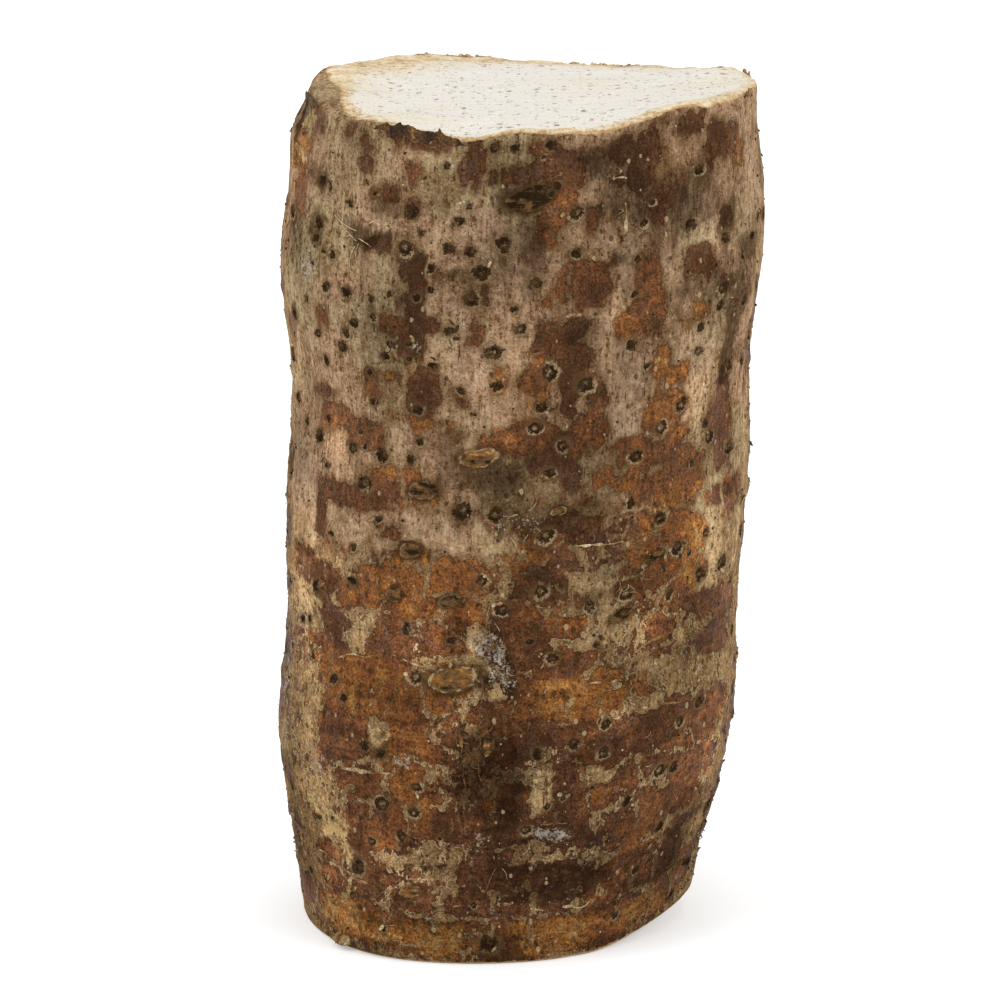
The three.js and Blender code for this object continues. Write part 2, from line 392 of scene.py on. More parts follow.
# The dried white bloom. Its shade is its density.
FROST_MARKS = (
    (-63, 134, 3, 2.2, 0.7), (-62.5, 137.6, 1.4, 0.6, 0.9), (-26.5, 122.6, 1.2, 1.4, 0.7),
    (-3, 90, 3, 1.6, 0.5), (3, 88.6, 3, 2.4, 0.5), (-7, 66.6, 4.6, 0.9, 0.9),
    (-4, 63.6, 4, 2.4, 0.8), (-2, 60, 3, 3, 0.6), (1, 57, 2, 2, 0.5), (-24, 67.6, 2.6, 1.8, 0.5),
    (-69, 66, 3, 3, 0.6), (-73, 58.6, 3, 2.4, 0.5), (-55, 37.4, 3.4, 3, 0.6),
    (-24.6, 41.6, 2.4, 1.6, 0.8), (-6.4, 27.2, 1.6, 0.9, 0.9), (-8, 25, 2, 0.8, 0.6),
    (12.5, 26.3, 5.6, 1.2, 1, -18), (-19.5, 9.2, 1, 1.2, 0.8), (-33, 14.6, 2, 1.2, 0.5),
    (58.5, 159.3, 1, 1, 0.8), (-77, 50, 3, 5, 0.7), (-75, 40, 3, 3.4, 0.7), (-77, 62, 2.4, 3, 0.7),
)

# Paler papery skin.
PALE_MARKS = (
    (-44, 85, 12, 3, 0.9), (-66, 90, 6, 12, 0.8), (66, 80, 16, 12, 0.6), (70, 150, 8, 12, 0.6),
    (-64, 124, 10, 8, 0.6), (-22, 87, 10, 3, 0.8), (-10, 86, 6, 4, 0.7), (-12, 120, 8, 6, 0.4),
    (26, 137, 4, 4, 0.6), (48, 138.6, 5, 2, 0.8), (45, 118, 8, 4, 0.6), (25, 112, 5, 4, 0.7),
    (28, 105, 6, 4, 0.8), (-24, 160, 6, 2.4, 0.7), (25, 36, 4, 5, 0.6), (7, 35, 5, 5, 0.5),
    (47, 35, 6, 4, 0.5), (52, 80, 8, 8, 0.7), (24, 77, 4, 5, 0.5), (19, 66, 6, 4, 0.3),
    (-37, 66, 5, 4, 0.6), (-35, 49, 14, 2, 0.5), (62, 46, 8, 3, 0.5), (-16, 124, 4, 4, 0.5),
    (-72, 161, 9, 3, 0.9),
)

# Broad zones where the skin is more worn than around them, or less: bearing, height,
# half width in degrees, half height in millimetres, and how much they add to the wear.
WEAR_ZONES = (
    (36, 151, 17, 11, 1.7), (5, 150, 7, 15, 1.6), (11, 122, 7, 19, 1.5), (-27, 125, 3.5, 16, 1.8),
    (37, 116, 5, 14, 1.3), (60, 109, 5, 14, 1.7), (58, 129, 12, 4, 1.0), (-6, 102, 12, 6, 1.3),
    (5, 85, 8, 20, 1.4), (17, 88, 13, 5, 1.0), (40, 86, 9, 13, 1.3), (-22, 77, 15, 6, 0.7),
    (-44, 91, 14, 3, 1.1), (-56, 107, 8, 4, 1.0), (-14, 158, 7, 5, 1.0), (-70, 155, 7, 6, 1.2),
    (-38, 142, 6, 3, 0.9), (15, 134, 6, 7, 1.3), (30, 131, 3.5, 9, 1.5), (47, 131, 7, 5, 1.2),
    (-10, 134, 5, 7, 0.7), (-45, 125, 18, 12, -0.4), (-66, 88, 9, 6, -1.4), (-26, 87, 9, 3, -1.0),
    (22, 106, 5, 5, -1.0), (50, 118, 6, 8, -1.0), (53, 80, 7, 10, -1.6), (-40, 66, 12, 4, -0.9),
    (-36, 47, 6, 3, -1.3), (8.5, 37, 3.4, 5, -1.5), (25, 37, 4, 4, -1.4), (42, 37.6, 7, 1.4, -1.2),
    (60, 49, 9, 3, -1.0), (20, 66, 7, 3.4, -1.1), (-9, 42, 8, 9, 1.3), (-56, 48, 3, 8, -0.5),
    (-20, 20, 7, 3, -0.4), (-60, 57, 4, 8, -0.6), (28, 50, 5, 1.6, -0.7), (50, 53, 8, 2, -0.7),
    (-33, 56, 17, 4, 1.5), (-30, 32, 12, 5, 1.2), (37, 84, 7, 7, 1.2), (-20, 28, 8, 4, 0.8),
    (100, 150, 14, 10, 1.4), (118, 120, 5, 18, 1.6), (140, 96, 14, 5, 1.3), (165, 130, 6, 14, 1.4),
    (190, 105, 12, 6, 1.2), (205, 145, 10, 8, 1.4), (228, 118, 5, 16, 1.5), (250, 140, 10, 9, 1.2),
    (262, 100, 9, 6, 1.3), (95, 85, 10, 8, -1.0), (150, 60, 8, 5, -1.1), (200, 40, 8, 4, -1.1),
    (240, 66, 9, 5, -1.0), (120, 30, 8, 4, -1.0), (180, 16, 10, 4, -0.9), (270, 40, 7, 5, -1.0),
)

# Broad zones that darken the skin more than around them, or less: bearing, height, half width in
# degrees, half height in millimetres, and share. Where they darken they stand for rubbed-in soil;
# the zones that lighten the near side's left and right edges are painted light.
GRIME_AND_LIGHT_ZONES = (
    (34, 149, 19, 10, 0.32), (15, 156, 8, 6, 0.45), (-3, 157, 7, 4, 0.4), (-4, 143, 8, 7, 0.8),
    (-13, 136, 7, 5, 0.45), (25, 141, 6, 12, 0.3), (45, 144, 8, 5, 0.3), (15, 131, 6, 7, 0.25),
    (62, 129, 9, 5, 0.5), (25, 116, 5, 10, 0.35), (20, 101, 9, 7, 0.45), (-8, 97, 10, 6, 0.3),
    (-25, 104, 6, 3, 0.3), (-37, 131, 8, 8, 0.4), (-68, 137, 8, 5, 0.55), (-71, 98, 8, 7, 0.55),
    (26, 79, 6, 6, 0.3), (36, 85, 6, 6, 0.35), (26, 66, 5, 5, 0.4), (57, 60, 10, 6, 0.45),
    (-28, 53, 18, 5, 0.3), (4, 55, 6, 4, 0.3), (38, 55, 26, 6, 0.35), (-12, 40, 5, 7, 0.3),
    (4, 43, 6, 6, 0.7), (15, 43, 6, 6, 0.4), (34, 42, 8, 6, 0.25), (-33, 31, 8, 4, 0.3),
    (0, 23, 9, 5, 0.5), (31, 23, 15, 5, 0.5), (60, 14, 12, 7, 0.5), (-10, 7, 10, 4, 0.55),
    (56, 8, 14, 4, 0.45), (10, 5, 40, 5, 0.15), (5, 28, 16, 10, 0.14), (-66, 74, 12, 12, -0.7),
    (-52, 100, 8, 9, -0.5), (-76, 117, 7, 12, -0.7), (-58, 33, 9, 11, -0.5), (-61, 58, 9, 8, -0.5),
    (7, 152, 5, 4, -1.2), (51, 151, 6, 8, -0.4), (36, 156, 9, 5, -0.8), (26, 88, 9, 4, -1.0),
    (46, 16, 9, 4, -1.1), (-5, 84, 8, 6, -0.3), (77, 96, 9, 38, -0.5), (-43, 22, 13, 7, -0.8),
    (-5, 118, 7, 8, -0.25), (-3, 106, 6, 4, -0.5), (48, 106, 10, 9, -0.6), (59, 82, 10, 9, -0.75),
    (-20, 64, 15, 4, -0.75), (35, 65, 6, 4, -0.9), (38, 34, 10, 4, -0.35), (-20, 16, 12, 4, -0.6),
    (25, 129, 6, 4, -0.8), (15, 24, 5, 4, -0.3), (63, 34, 11, 12, -0.6), (-10, 49, 9, 4, -0.8),
    (50, 136, 9, 5, -0.45), (5, 73, 5, 4, -0.4), (25, 48, 5, 3, -0.95), (-48, 140, 14, 14, -0.2),
    (-47, 118, 12, 8, -0.15), (-25, 120, 5, 4, -0.7), (-48, 104, 8, 4, -0.5),
    (-15, 104, 6, 4, -0.35), (-53, 79, 8, 5, -0.6), (-30, 72, 18, 5, -0.3), (-9, 32, 7, 4, -0.45),
    (35, 8, 7, 3, -0.4), (-52, 12, 10, 7, -0.4), (-28, 96, 9, 5, -0.4), (15, 57, 6, 4, -0.45),
    (-25, 160, 8, 4, -0.4), (45, 160, 6, 4, -0.3), (-78, 150, 6, 10, -0.3), (100, 140, 16, 14, 0.4),
    (128, 100, 12, 8, 0.4), (170, 60, 14, 8, 0.35), (210, 135, 12, 12, 0.4), (235, 90, 12, 8, 0.35),
    (205, 20, 20, 8, 0.4), (130, 40, 14, 8, 0.35), (260, 30, 14, 8, 0.3), (150, 120, 12, 12, -0.3),
    (190, 90, 12, 8, -0.35), (250, 115, 10, 10, -0.3), (110, 70, 10, 8, -0.3),
)

# Hollows. Their shade is their depth in millimetres.
PIT_MARKS = (
    (-5, 39, 2.6, 9, 1.2), (-1, 36, 1.6, 5, 0.8), (-52, 24.5, 6, 4, 0.5, -25), (-9, 47, 2, 3, 0.5),
    (16.5, 96, 1, 6, 0.3), (-26.3, 128, 1.6, 10, 0.4), (3, 143, 1.6, 5, 0.4), (9, 118, 0.8, 6, 0.4),
    (23.7, 75, 0.6, 4, 0.3), (-73, 153, 4, 3, 0.6), (-15, 17, 6, 3, 0.4),
)

# Scars left by roots: bearing, height, radius in millimetres, paleness of the middle.
ROOT_SCARS = (
    (-57.9, 151.9, 1.4, 0.1), (-54.2, 150.7, 0.8, 0.3), (-46, 148.8, 0.8, 0.3),
    (-58.1, 143.8, 1.5, 0.1), (-58.6, 141, 1.2, 0.2), (-55.1, 138.8, 0.8, 0.4),
    (-51.7, 138.7, 1.2, 0.2), (-53.6, 132.1, 1.5, 0.4), (-46.7, 132.1, 1.5, 0.2),
    (-38.3, 131.7, 1.0, 0.3), (-32.6, 133.2, 0.8, 0.5), (-43.6, 126.4, 1.1, 0.3),
    (-46.4, 124.2, 1.1, 0.5), (-47.6, 121.1, 1.4, 0.1), (-57.6, 122.3, 1.1, 0.4),
    (-54.8, 117.4, 1.3, 0.5), (-37.9, 128.3, 1.0, 0.4), (-32.9, 123.3, 1.0, 0.5),
    (-34.5, 121.1, 1.0, 0.3), (-28.3, 149.1, 1.7, 0.1), (-19.8, 158.1, 0.9, 0.2),
    (-7.6, 161.2, 1.2, 0.1), (-3.3, 160.9, 1.1, 0.1), (-13.6, 150.8, 0.9, 0.3),
    (-15.9, 147.7, 1.1, 0.2), (-29.2, 142, 1.9, 0.5), (-18.3, 142.3, 1.4, 0.4),
    (-12.9, 142, 1.2, 0.1), (-5.1, 143.2, 1.8, 0.2), (-10.1, 137.9, 2.0, 0.2),
    (-12.6, 133, 1.7, 0.3), (-22, 138.2, 1.0, 0.3), (-22, 134.5, 1.0, 0.3), (-17, 127, 1.3, 0.1),
    (-2.6, 130.8, 0.9, 0.3), (-1.1, 126.7, 1.2, 0.3), (-7, 122.4, 2.1, 0.3),
    (-21.7, 119.6, 1.2, 0.1), (-5.8, 116.1, 1.4, 0.4), (-14.8, 114.9, 1.0, 0.5),
    (-38.6, 111.5, 0.9, 0.1), (-26.1, 110.8, 1.3, 0.3), (-70.8, 124.2, 1.5, 0.2),
    (5.7, 160.9, 1.2, 0.2), (11.9, 147.9, 1.4, 0.4), (42.6, 142, 1.2, 0.1), (11.9, 140.4, 1.1, 0.4),
    (2.6, 135.7, 1.4, 0.1), (54.8, 137.3, 1.4, 0.1), (69.4, 135.7, 1.1, 0.2),
    (74.4, 138.8, 1.1, 0.2), (63.2, 132.6, 0.9, 0.2), (54.4, 127.6, 1.6, 0.6),
    (54.4, 124.2, 1.3, 0.3), (65.7, 123.6, 1.3, 0.2), (6.3, 118, 1.8, 0.6), (4.8, 111.5, 1.3, 0.3),
    (15.4, 115.5, 1.8, 0.6), (26.6, 121.1, 1.2, 0.5), (47.3, 116.1, 1.4, 0.5),
    (47.9, 121.1, 1.1, 0.4), (27.2, 137.6, 1.0, 0.2), (70.7, 111.1, 1.3, 0.2),
    (61.9, 111.5, 1.2, 0.3), (45, 152.2, 1.6, 0.5), (-67.6, 103.4, 1.0, 0.2),
    (-55.8, 105.2, 1.0, 0.2), (-59.2, 101.7, 1.6, 0.1), (-45.4, 101.4, 1.4, 0.3),
    (-36.1, 101.4, 1.8, 0.2), (-27.3, 101.1, 1.3, 0.1), (-25.4, 104.5, 1.1, 0.4),
    (-55.4, 96.8, 1.1, 0.3), (-40.8, 94.9, 1.8, 0.2), (-13.9, 91.5, 1.9, 0.3),
    (-5.8, 91.2, 1.8, 0.3), (-36.1, 88.4, 0.9, 0.6), (-50.8, 83.7, 1.0, 0.3),
    (-43.6, 82.2, 0.9, 0.8), (-8.3, 77.8, 1.4, 0.6), (-3.3, 72.5, 1.3, 0.6),
    (-58.6, 71.9, 1.5, 0.1), (-44.2, 75.7, 1.3, 0.1), (-15.4, 66.3, 1.0, 0.1),
    (-3.6, 64.5, 1.3, 0.3), (-24.8, 58.3, 1.6, 0.6), (-62.6, 65.1, 1.1, 0.2),
    (3.5, 107.6, 1.5, 0.7), (10.4, 103.6, 1.4, 0.3), (36.3, 103.3, 1.6, 0.6),
    (42.6, 106.7, 1.5, 0.3), (52.9, 101.1, 1.1, 0.2), (54.8, 98.3, 1.5, 0.3), (7.3, 98.6, 1.3, 0.5),
    (29.4, 98.6, 1.5, 0.7), (6.9, 85.9, 1.7, 0.6), (37.3, 85.6, 1.6, 0.4), (65.4, 94.6, 1.8, 0.2),
    (43.1, 78.4, 1.5, 0.7), (32.3, 76.3, 0.9, 0.9), (52.9, 71.6, 1.8, 0.2), (62.6, 71.9, 1.8, 0.6),
    (29, 72.2, 1.5, 0.9), (41.6, 69.4, 1.1, 0.5), (18.9, 71.6, 1.4, 0.5), (6.3, 75.3, 1.5, 0.4),
    (20.7, 64.5, 1.0, 0.2), (72, 67, 1.2, 0.2), (-32.6, 32.1, 1.7, 0.5), (-23.6, 31.2, 1.5, 0.5),
    (-22.3, 36.5, 1.3, 0.6), (-27.3, 25.9, 1.3, 0.4), (-36.4, 24, 1.2, 0.4),
    (-39.5, 28.4, 0.9, 0.2), (-41.7, 17.8, 2.0, 0.4), (7.6, 43.6, 1.3, 0.1), (16.3, 45.2, 1.4, 0.3),
    (24.1, 43, 1.4, 0.4), (47.9, 43, 1.4, 0.6), (55.4, 45.2, 1.6, 0.2), (42.6, 34, 1.6, 0.7),
    (47.9, 33.4, 1.4, 0.2), (32.3, 30.9, 1.3, 0.1), (10.1, 32.7, 0.9, 0.3), (5.4, 28.1, 1.3, 0.8),
    (-3, 4.5, 2.2, 0.1),
)

# Dormant buds and broader scars: bearing, height, half width and half height in millimetres,
# paleness of the middle.
BUD_SCARS = (
    (1.0, 151.6, 4.8, 2.2, 0.05), (-9.8, 102.3, 3.6, 1.7, 0.75), (-23.9, 95.2, 2.8, 1.7, 0.35),
    (-26.7, 83.1, 2.3, 1.4, 0.4), (-14.5, 58.2, 4.8, 2.2, 0.85), (-24.5, 14.8, 2.6, 1.1, 0.7),
    (27.6, 68.5, 2.2, 1.0, 0.2), (36.6, 78.1, 1.6, 1.0, 0.4), (10.1, 90.9, 1.6, 0.9, 0.6),
    (-5, 45.2, 1.1, 1.9, 0.7), (-31.1, 73.8, 1.8, 1.4, 0.3), (-16.4, 73.8, 2.0, 1.2, 0.3),
    (-42.6, 34, 1.6, 1.0, 0.5),
)

# The tables above, by layer.
LAYER_MARKS = {
    Layer.BARE: BARE_MARKS,
    Layer.SOIL: SOIL_MARKS,
    Layer.CREAM: CREAM_MARKS,
    Layer.FROST: FROST_MARKS,
    Layer.PALE: PALE_MARKS,
    Layer.PIT: PIT_MARKS,
}

# Marks strewn over the far side: layer, how many, lowest and highest place, half widths, half
# heights, shades.
STREWN_MARKS = (
    (Layer.BARE, 70, (2, 70), (3, 11), (1.4, 4.4), (0.0, 0.6)),
    (Layer.BARE, 34, (66, 112), (2, 8), (1.2, 3.6), (0.05, 0.8)),
    (Layer.BARE, 34, (110, 162), (1.5, 6.0), (1.2, 5.0), (0.1, 0.5)),
    (Layer.BARE, 12, (3, 60), (4, 10), (1.4, 2.8), (0.7, 1.0)),
    (Layer.SOIL, 26, (4, 70), (3, 9), (1.5, 5.0), (0.4, 0.8)),
    (Layer.SOIL, 22, (80, 160), (2, 6), (1.5, 4.5), (0.4, 0.9)),
    (Layer.CREAM, 8, (10, 90), (1, 4), (0.7, 1.8), (0.6, 1.0)),
    (Layer.FROST, 8, (20, 140), (1.5, 4), (0.8, 2.4), (0.5, 0.9)),
    (Layer.PALE, 16, (20, 155), (5, 12), (3, 9), (0.4, 0.9)),
    (Layer.PIT, 10, (15, 130), (0.8, 2.2), (3, 8), (0.3, 0.7)),
)


def zone_sum(zones: tuple, bearing: Array, height: Array, start: Union[float, Array] = 0.0) -> Array:
    """A start plus each broad zone's lift times a bell across the zone.

    Args:
        zones: Rows of bearing, height, half width in degrees, half height in millimetres, lift.
        bearing: Bearings of the places.
        height: Heights of the places.
        start: What the lifts are added to.

    Returns:
        The sum at each place.
    """
    total = start
    for at, level, wide, tall, lift in zones:
        total = total + lift * bell(bearing_gap(bearing, at), wide) * bell(height - level, tall)
    return total


@dataclass
class Markings:
    """Every mark round the corm: those listed and those strewn over its far side."""

    seed: int = SEED
    far_from: float = 74.0  # the bearing past which marks are strewn
    scar_count: int = 400  # how many scars are strewn, the larger of them on the far side
    near_skip: float = 0.7  # how many of those that fall on the near side are left out
    outside: float = -8.0  # the depth of a place far from every mark
    soft: float = 0.8  # how many millimetres it takes for one mark's shade to give way to the next
    net_rows: int = 17
    net_columns: int = 26
    net_spacing: float = 7.0  # from row to row
    net_stretch: float = 1.35  # how much the net is flattened
    net_tones: tuple = (0.02, 0.15, 0.3, 0.5, 0.72)
    net_odds: tuple = (0.27, 0.25, 0.2, 0.2, 0.08)
    layers: dict = field(default_factory=dict)
    scars: Array = field(default_factory=lambda: np.zeros((0, 5)))

    def __post_init__(self) -> None:
        """Gathers the listed marks and strews the others."""
        self.layers = {layer: [Mark(*row) for row in rows] for layer, rows in LAYER_MARKS.items()}
        rng = np.random.default_rng(self.seed)
        self._strew_patches(rng)
        self.scars = self._all_scars(rng)

    def _strew_patches(self, rng: np.random.Generator) -> None:
        """Adds marks past far_from on both sides, barer and darker towards the lower end.

        Args:
            rng: The source of random numbers.
        """
        span = 360.0 - 2.0 * self.far_from
        for layer, count, *ranges in STREWN_MARKS:
            for _ in range(count):
                bearing = self.far_from + rng.uniform(0.0, span)
                sizes = [rng.uniform(*limits) for limits in ranges]
                self.layers[layer].append(Mark(bearing, *sizes, rng.normal(0.0, 12.0)))

    def _all_scars(self, rng: np.random.Generator) -> Array:
        """Root scars as rows of bearing, height, half width, half height, paleness.

        Args:
            rng: The source of random numbers.

        Returns:
            An array with one scar a row.
        """
        rows = [(b, h, 0.9 * r, 0.8 * r, pale) for b, h, r, pale in ROOT_SCARS]
        placed = np.array(rows + list(BUD_SCARS))
        strewn = []
        while len(strewn) < self.scar_count:
            bearing, height = rng.uniform(-180.0, 180.0), rng.uniform(4.0, 161.0)
            near_side = abs(bearing) < self.far_from
            if near_side and rng.random() < self.near_skip:
                continue
            near_most = 0.9 if height > 95.0 else 1.2
            radius = rng.uniform(0.4, near_most) if near_side else rng.uniform(0.6, 1.7)
            every = np.array([row[:2] for row in strewn] + placed[:, :2].tolist())
            across = bearing_gap(every[:, 0], bearing) * ARC_PER_DEGREE
            gap = np.hypot(across, every[:, 1] - height).min()
            if gap < 2.0 + radius:
                continue
            strewn.append((bearing, height, radius, radius * rng.uniform(0.75, 1.0), rng.random() * 0.7))
        return np.array(rows + strewn)

    def depth(self, layer: Layer, bearing: Array, height: Array) -> tuple:
        """How far inside a layer's marks each place lies, and the shade there.

        For one rounded oblong with half axes a and b the depth is (1 - ((u/a)^4 + (v/b)^4)^(1/4))
        times the smaller half axis. The layer's depth is the greatest of them, and its shade is the
        average of the marks' shades weighted by exp(depth / soft).

        Args:
            layer: Which marks to use.
            bearing: Bearings of the places.
            height: Heights of the places.

        Returns:
            Two arrays: the depth in millimetres, negative outside, and the shade.
        """
        deepest = np.full(bearing.shape, self.outside)
        weight = np.full(bearing.shape, 1e-9)
        shade = np.full(bearing.shape, 0.3e-9)
        for mark in self.layers[layer]:
            across = bearing_gap(bearing, mark.bearing) * ARC_PER_DEGREE
            along = height - mark.height
            turn = np.radians(mark.tilt)
            u = across * np.cos(turn) + along * np.sin(turn)
            v = along * np.cos(turn) - across * np.sin(turn)
            a, b = mark.wide * ARC_PER_DEGREE, mark.tall
            inside = (1.0 - np.sqrt(np.hypot((u / a) ** 2, (v / b) ** 2))) * min(a, b)
            inside = np.maximum(inside, self.outside)
            deepest = np.maximum(deepest, inside)
            share = np.exp(inside / self.soft)
            weight += share
            shade += share * mark.shade
        return deepest, shade / weight

    def wear(self, bearing: Array, height: Array) -> Array:
        """How worn the skin is around a place, in the same units as the depth of a bare patch."""
        start = -0.9 + 1.5 * smoothstep(-height, -112.0, -72.0) + 0.5 * smoothstep(-height, -66.0, -44.0)
        return zone_sum(WEAR_ZONES, bearing, height, start)

    def grime_and_painted_light(self, bearing: Array, height: Array) -> Array:
        """How much rubbed-in soil darkens the skin around a place; negative values lighten it, and along
        the near side's edges that lightening is painted light.
        """
        return zone_sum(GRIME_AND_LIGHT_ZONES, bearing, height)

    def net(self, bearing: Array, height: Array) -> tuple:
        """A net of skin left standing between the bare patches.

        Seeds are strewn round the girth. The distance to the net is half of how much farther
        the second nearest seed is than the nearest one.

        Args:
            bearing: Bearings of the places.
            height: Heights of the places.

        Returns:
            Two arrays: distances in millimetres, and the tone of each place's own mesh of the net.
        """
        rng = np.random.default_rng(self.seed + 2)
        levels = height.mean(axis=1)
        shape = (self.net_rows, self.net_columns)
        columns = np.arange(self.net_columns) * 360.0 / self.net_columns
        seed_b = (columns + rng.uniform(-5.5, 5.5, shape)).ravel()
        rows = np.arange(self.net_rows)[:, None] * self.net_spacing
        seed_h = (rows + rng.uniform(-2.6, 2.6, shape)).ravel()
        tones = rng.choice(self.net_tones, len(seed_b), p=self.net_odds)
        tone = np.full(bearing.shape, 0.3)
        first = np.full(bearing.shape, 99.0)
        second = np.full(bearing.shape, 99.0)
        for at, level, own in zip(seed_b, seed_h, tones):
            near = np.abs(levels - level) < 16.0
            across = bearing_gap(bearing[near], at) * ARC_PER_DEGREE
            gap = np.hypot(across, self.net_stretch * (height[near] - level))
            tone[near] = np.where(gap < first[near], own, tone[near])
            second[near] = np.minimum(second[near], np.maximum(first[near], gap))
            first[near] = np.minimum(first[near], gap)
        return (second - first) / 2.0, tone

    def scar_reach(self, bearing: Array, height: Array) -> dict:
        """How far out of the nearest root scar each place lies, as a share of its radius.

        Args:
            bearing: Bearings of the places.
            height: Heights of the places.

        Returns:
            Arrays by name: "scar" is that share, which is 1 on the scar's edge. "plug" is the
            paleness of the scar's middle and "scar_size" its half height. "side" is the place
            across the scar, along the scar's own direction and in shares of its radius, held
            to -2..2. "rust" is the wear that the scars around have caused. "drip" is the dark
            trail above and below a scar.
        """
        scar = np.full(bearing.shape, 5.0)
        plug, side, rust, drip = np.zeros((4, *bearing.shape))
        size = np.ones(bearing.shape)
        rng = np.random.default_rng(self.seed + 1)
        strength = rng.random(len(self.scars)) ** 1.5
        turns = np.radians(rng.normal(0.0, 55.0, len(self.scars)))
        levels = height.mean(axis=1)
        for (at, level, wide, tall, pale), wear, turn in zip(self.scars, strength, turns):
            near = np.abs(levels - level) < 12.0
            across = bearing_gap(bearing[near], at) * ARC_PER_DEGREE / wide
            along = (height[near] - level) / tall
            reach = np.hypot(across, along)
            closer = reach < scar[near]
            lean = along * np.cos(turn) + across * np.sin(turn)
            for grid, value in ((scar, reach), (plug, pale), (size, tall), (side, lean)):
                grid[near] = np.where(closer, value, grid[near])
            rust[near] = np.maximum(rust[near], wear * bell(np.maximum(reach - 0.8, 0.0), 0.9))
            trail = bell(across, 0.7) * smoothstep(np.abs(along), 0.4, 1.2)
            trail = trail * smoothstep(along, -5.5, -2.5) * smoothstep(-along, -3.5, -1.0)
            drip[near] = np.maximum(drip[near], (1.0 - 0.6 * wear) * trail)
        side = np.clip(side, -2.0, 2.0)
        return {"scar": scar, "plug": plug, "scar_size": size, "side": side, "rust": rust, "drip": drip}

    def bud_reach(self, bearing: Array, height: Array) -> dict:
        """How far out of the nearest dormant bud each place lies, as a share of its radius.

        Args:
            bearing: Bearings of the places.
            height: Heights of the places.

        Returns:
            Arrays by name: "bud" is that share and "bud_pale" the paleness of that bud.
        """
        bud = np.full(bearing.shape, 5.0)
        bud_pale = np.zeros(bearing.shape)
        for at, level, wide, tall, pale in BUD_SCARS:
            across = bearing_gap(bearing, at) * ARC_PER_DEGREE
            reach = np.hypot(across / wide, (height - level - 0.12 * across) / tall)
            closer = reach < bud
            bud = np.where(closer, reach, bud)
            bud_pale = np.where(closer, pale, bud_pale)
        return {"bud": bud, "bud_pale": bud_pale}


# --- Mesh making ---


def mesh_object(
    name: str, points: Array, faces: Sequence, attributes: Optional[dict] = None
) -> bpy.types.Object:
    """Makes a smooth-shaded object at the origin from points in millimetres.

    Args:
        name: The piece's name.
        points: An array of points.
        faces: Index arrays, each with one row for each face.
        attributes: Values for each point, by attribute name.

    Returns:
        The new object, linked into the scene.
    """
    mesh = bpy.data.meshes.new(name)
    rows = [face for group in faces for face in np.asarray(group).tolist()]
    mesh.from_pydata((points * MM).tolist(), [], rows)
    for key, values in (attributes or {}).items():
        layer = mesh.attributes.new(key, "FLOAT", "POINT")
        layer.data.foreach_set("value", np.asarray(values, np.float32).ravel())
    mesh.polygons.foreach_set("use_smooth", np.ones(len(mesh.polygons), bool))
    mesh.update()
    piece = bpy.data.objects.new(name, mesh)
    bpy.context.scene.collection.objects.link(piece)
    return piece


def ring_faces(rows: int, columns: int, start: int = 0) -> Array:
    """Quads between neighbouring rows of a grid whose columns close on themselves.

    Args:
        rows: How many rows of points.
        columns: How many points in a row.
        start: The index of the first point.

    Returns:
        An array of quads. They face outwards where rows rise and columns run anticlockwise.
    """
    row, column = np.meshgrid(np.arange(rows - 1), np.arange(columns), indexing="ij")
    after = (column + 1) % columns
    a, b = row * columns + column, row * columns + after
    quads = np.stack([a, b, b + columns, a + columns], axis=-1).reshape(-1, 4)
    return quads + start


def fan_faces(pole: int, ring: Array, upward: bool) -> Array:
    """Triangles from a pole to a closed ring of points.

    Args:
        pole: The index of the pole.
        ring: The indices round the ring, anticlockwise from above.
        upward: Whether the fan faces up.

    Returns:
        An array of triangles.
    """
    following = np.roll(ring, -1)
    pair = (ring, following) if upward else (following, ring)
    return np.stack([np.full(len(ring), pole), *pair], axis=-1)


def loft(rings: Array) -> tuple:
    """Closed tubes through rings of points, each with a fan over its first and last ring.

    Args:
        rings: An array of tubes, stations, points round a ring, and xyz. Seen from a tube's
            end, its rings run anticlockwise.

    Returns:
        The points and a list of face arrays.
    """
    tubes, stations, around = rings.shape[:3]
    ends = np.stack([rings[:, 0].mean(axis=1), rings[:, -1].mean(axis=1)], axis=1)
    points = np.concatenate([rings.reshape(tubes, -1, 3), ends], axis=1)
    size = stations * around + 2
    first, last = np.arange(around), (stations - 1) * around + np.arange(around)
    one = (
        ring_faces(stations, around),
        fan_faces(size - 2, first, upward=False),
        fan_faces(size - 1, last, upward=True),
    )
    starts = (np.arange(tubes) * size)[:, None, None]
    return points.reshape(-1, 3), [(group[None] + starts).reshape(-1, group.shape[1]) for group in one]


def unit(vectors: Array) -> Array:
    """The vectors at length 1."""
    return vectors / np.maximum(np.linalg.norm(vectors, axis=-1, keepdims=True), 1e-9)


def grid_normals(points: Array) -> Array:
    """Unit normals of a grid that closes round its columns.

    The normal is the cross product of the step to the next column and the step to the next row.

    Args:
        points: An array of rows, columns and xyz.

    Returns:
        Unit vectors in the same layout.
    """
    across = np.roll(points, -1, axis=1) - np.roll(points, 1, axis=1)
    along = np.gradient(points, axis=0)
    return unit(np.cross(across, along))


# --- Materials ---


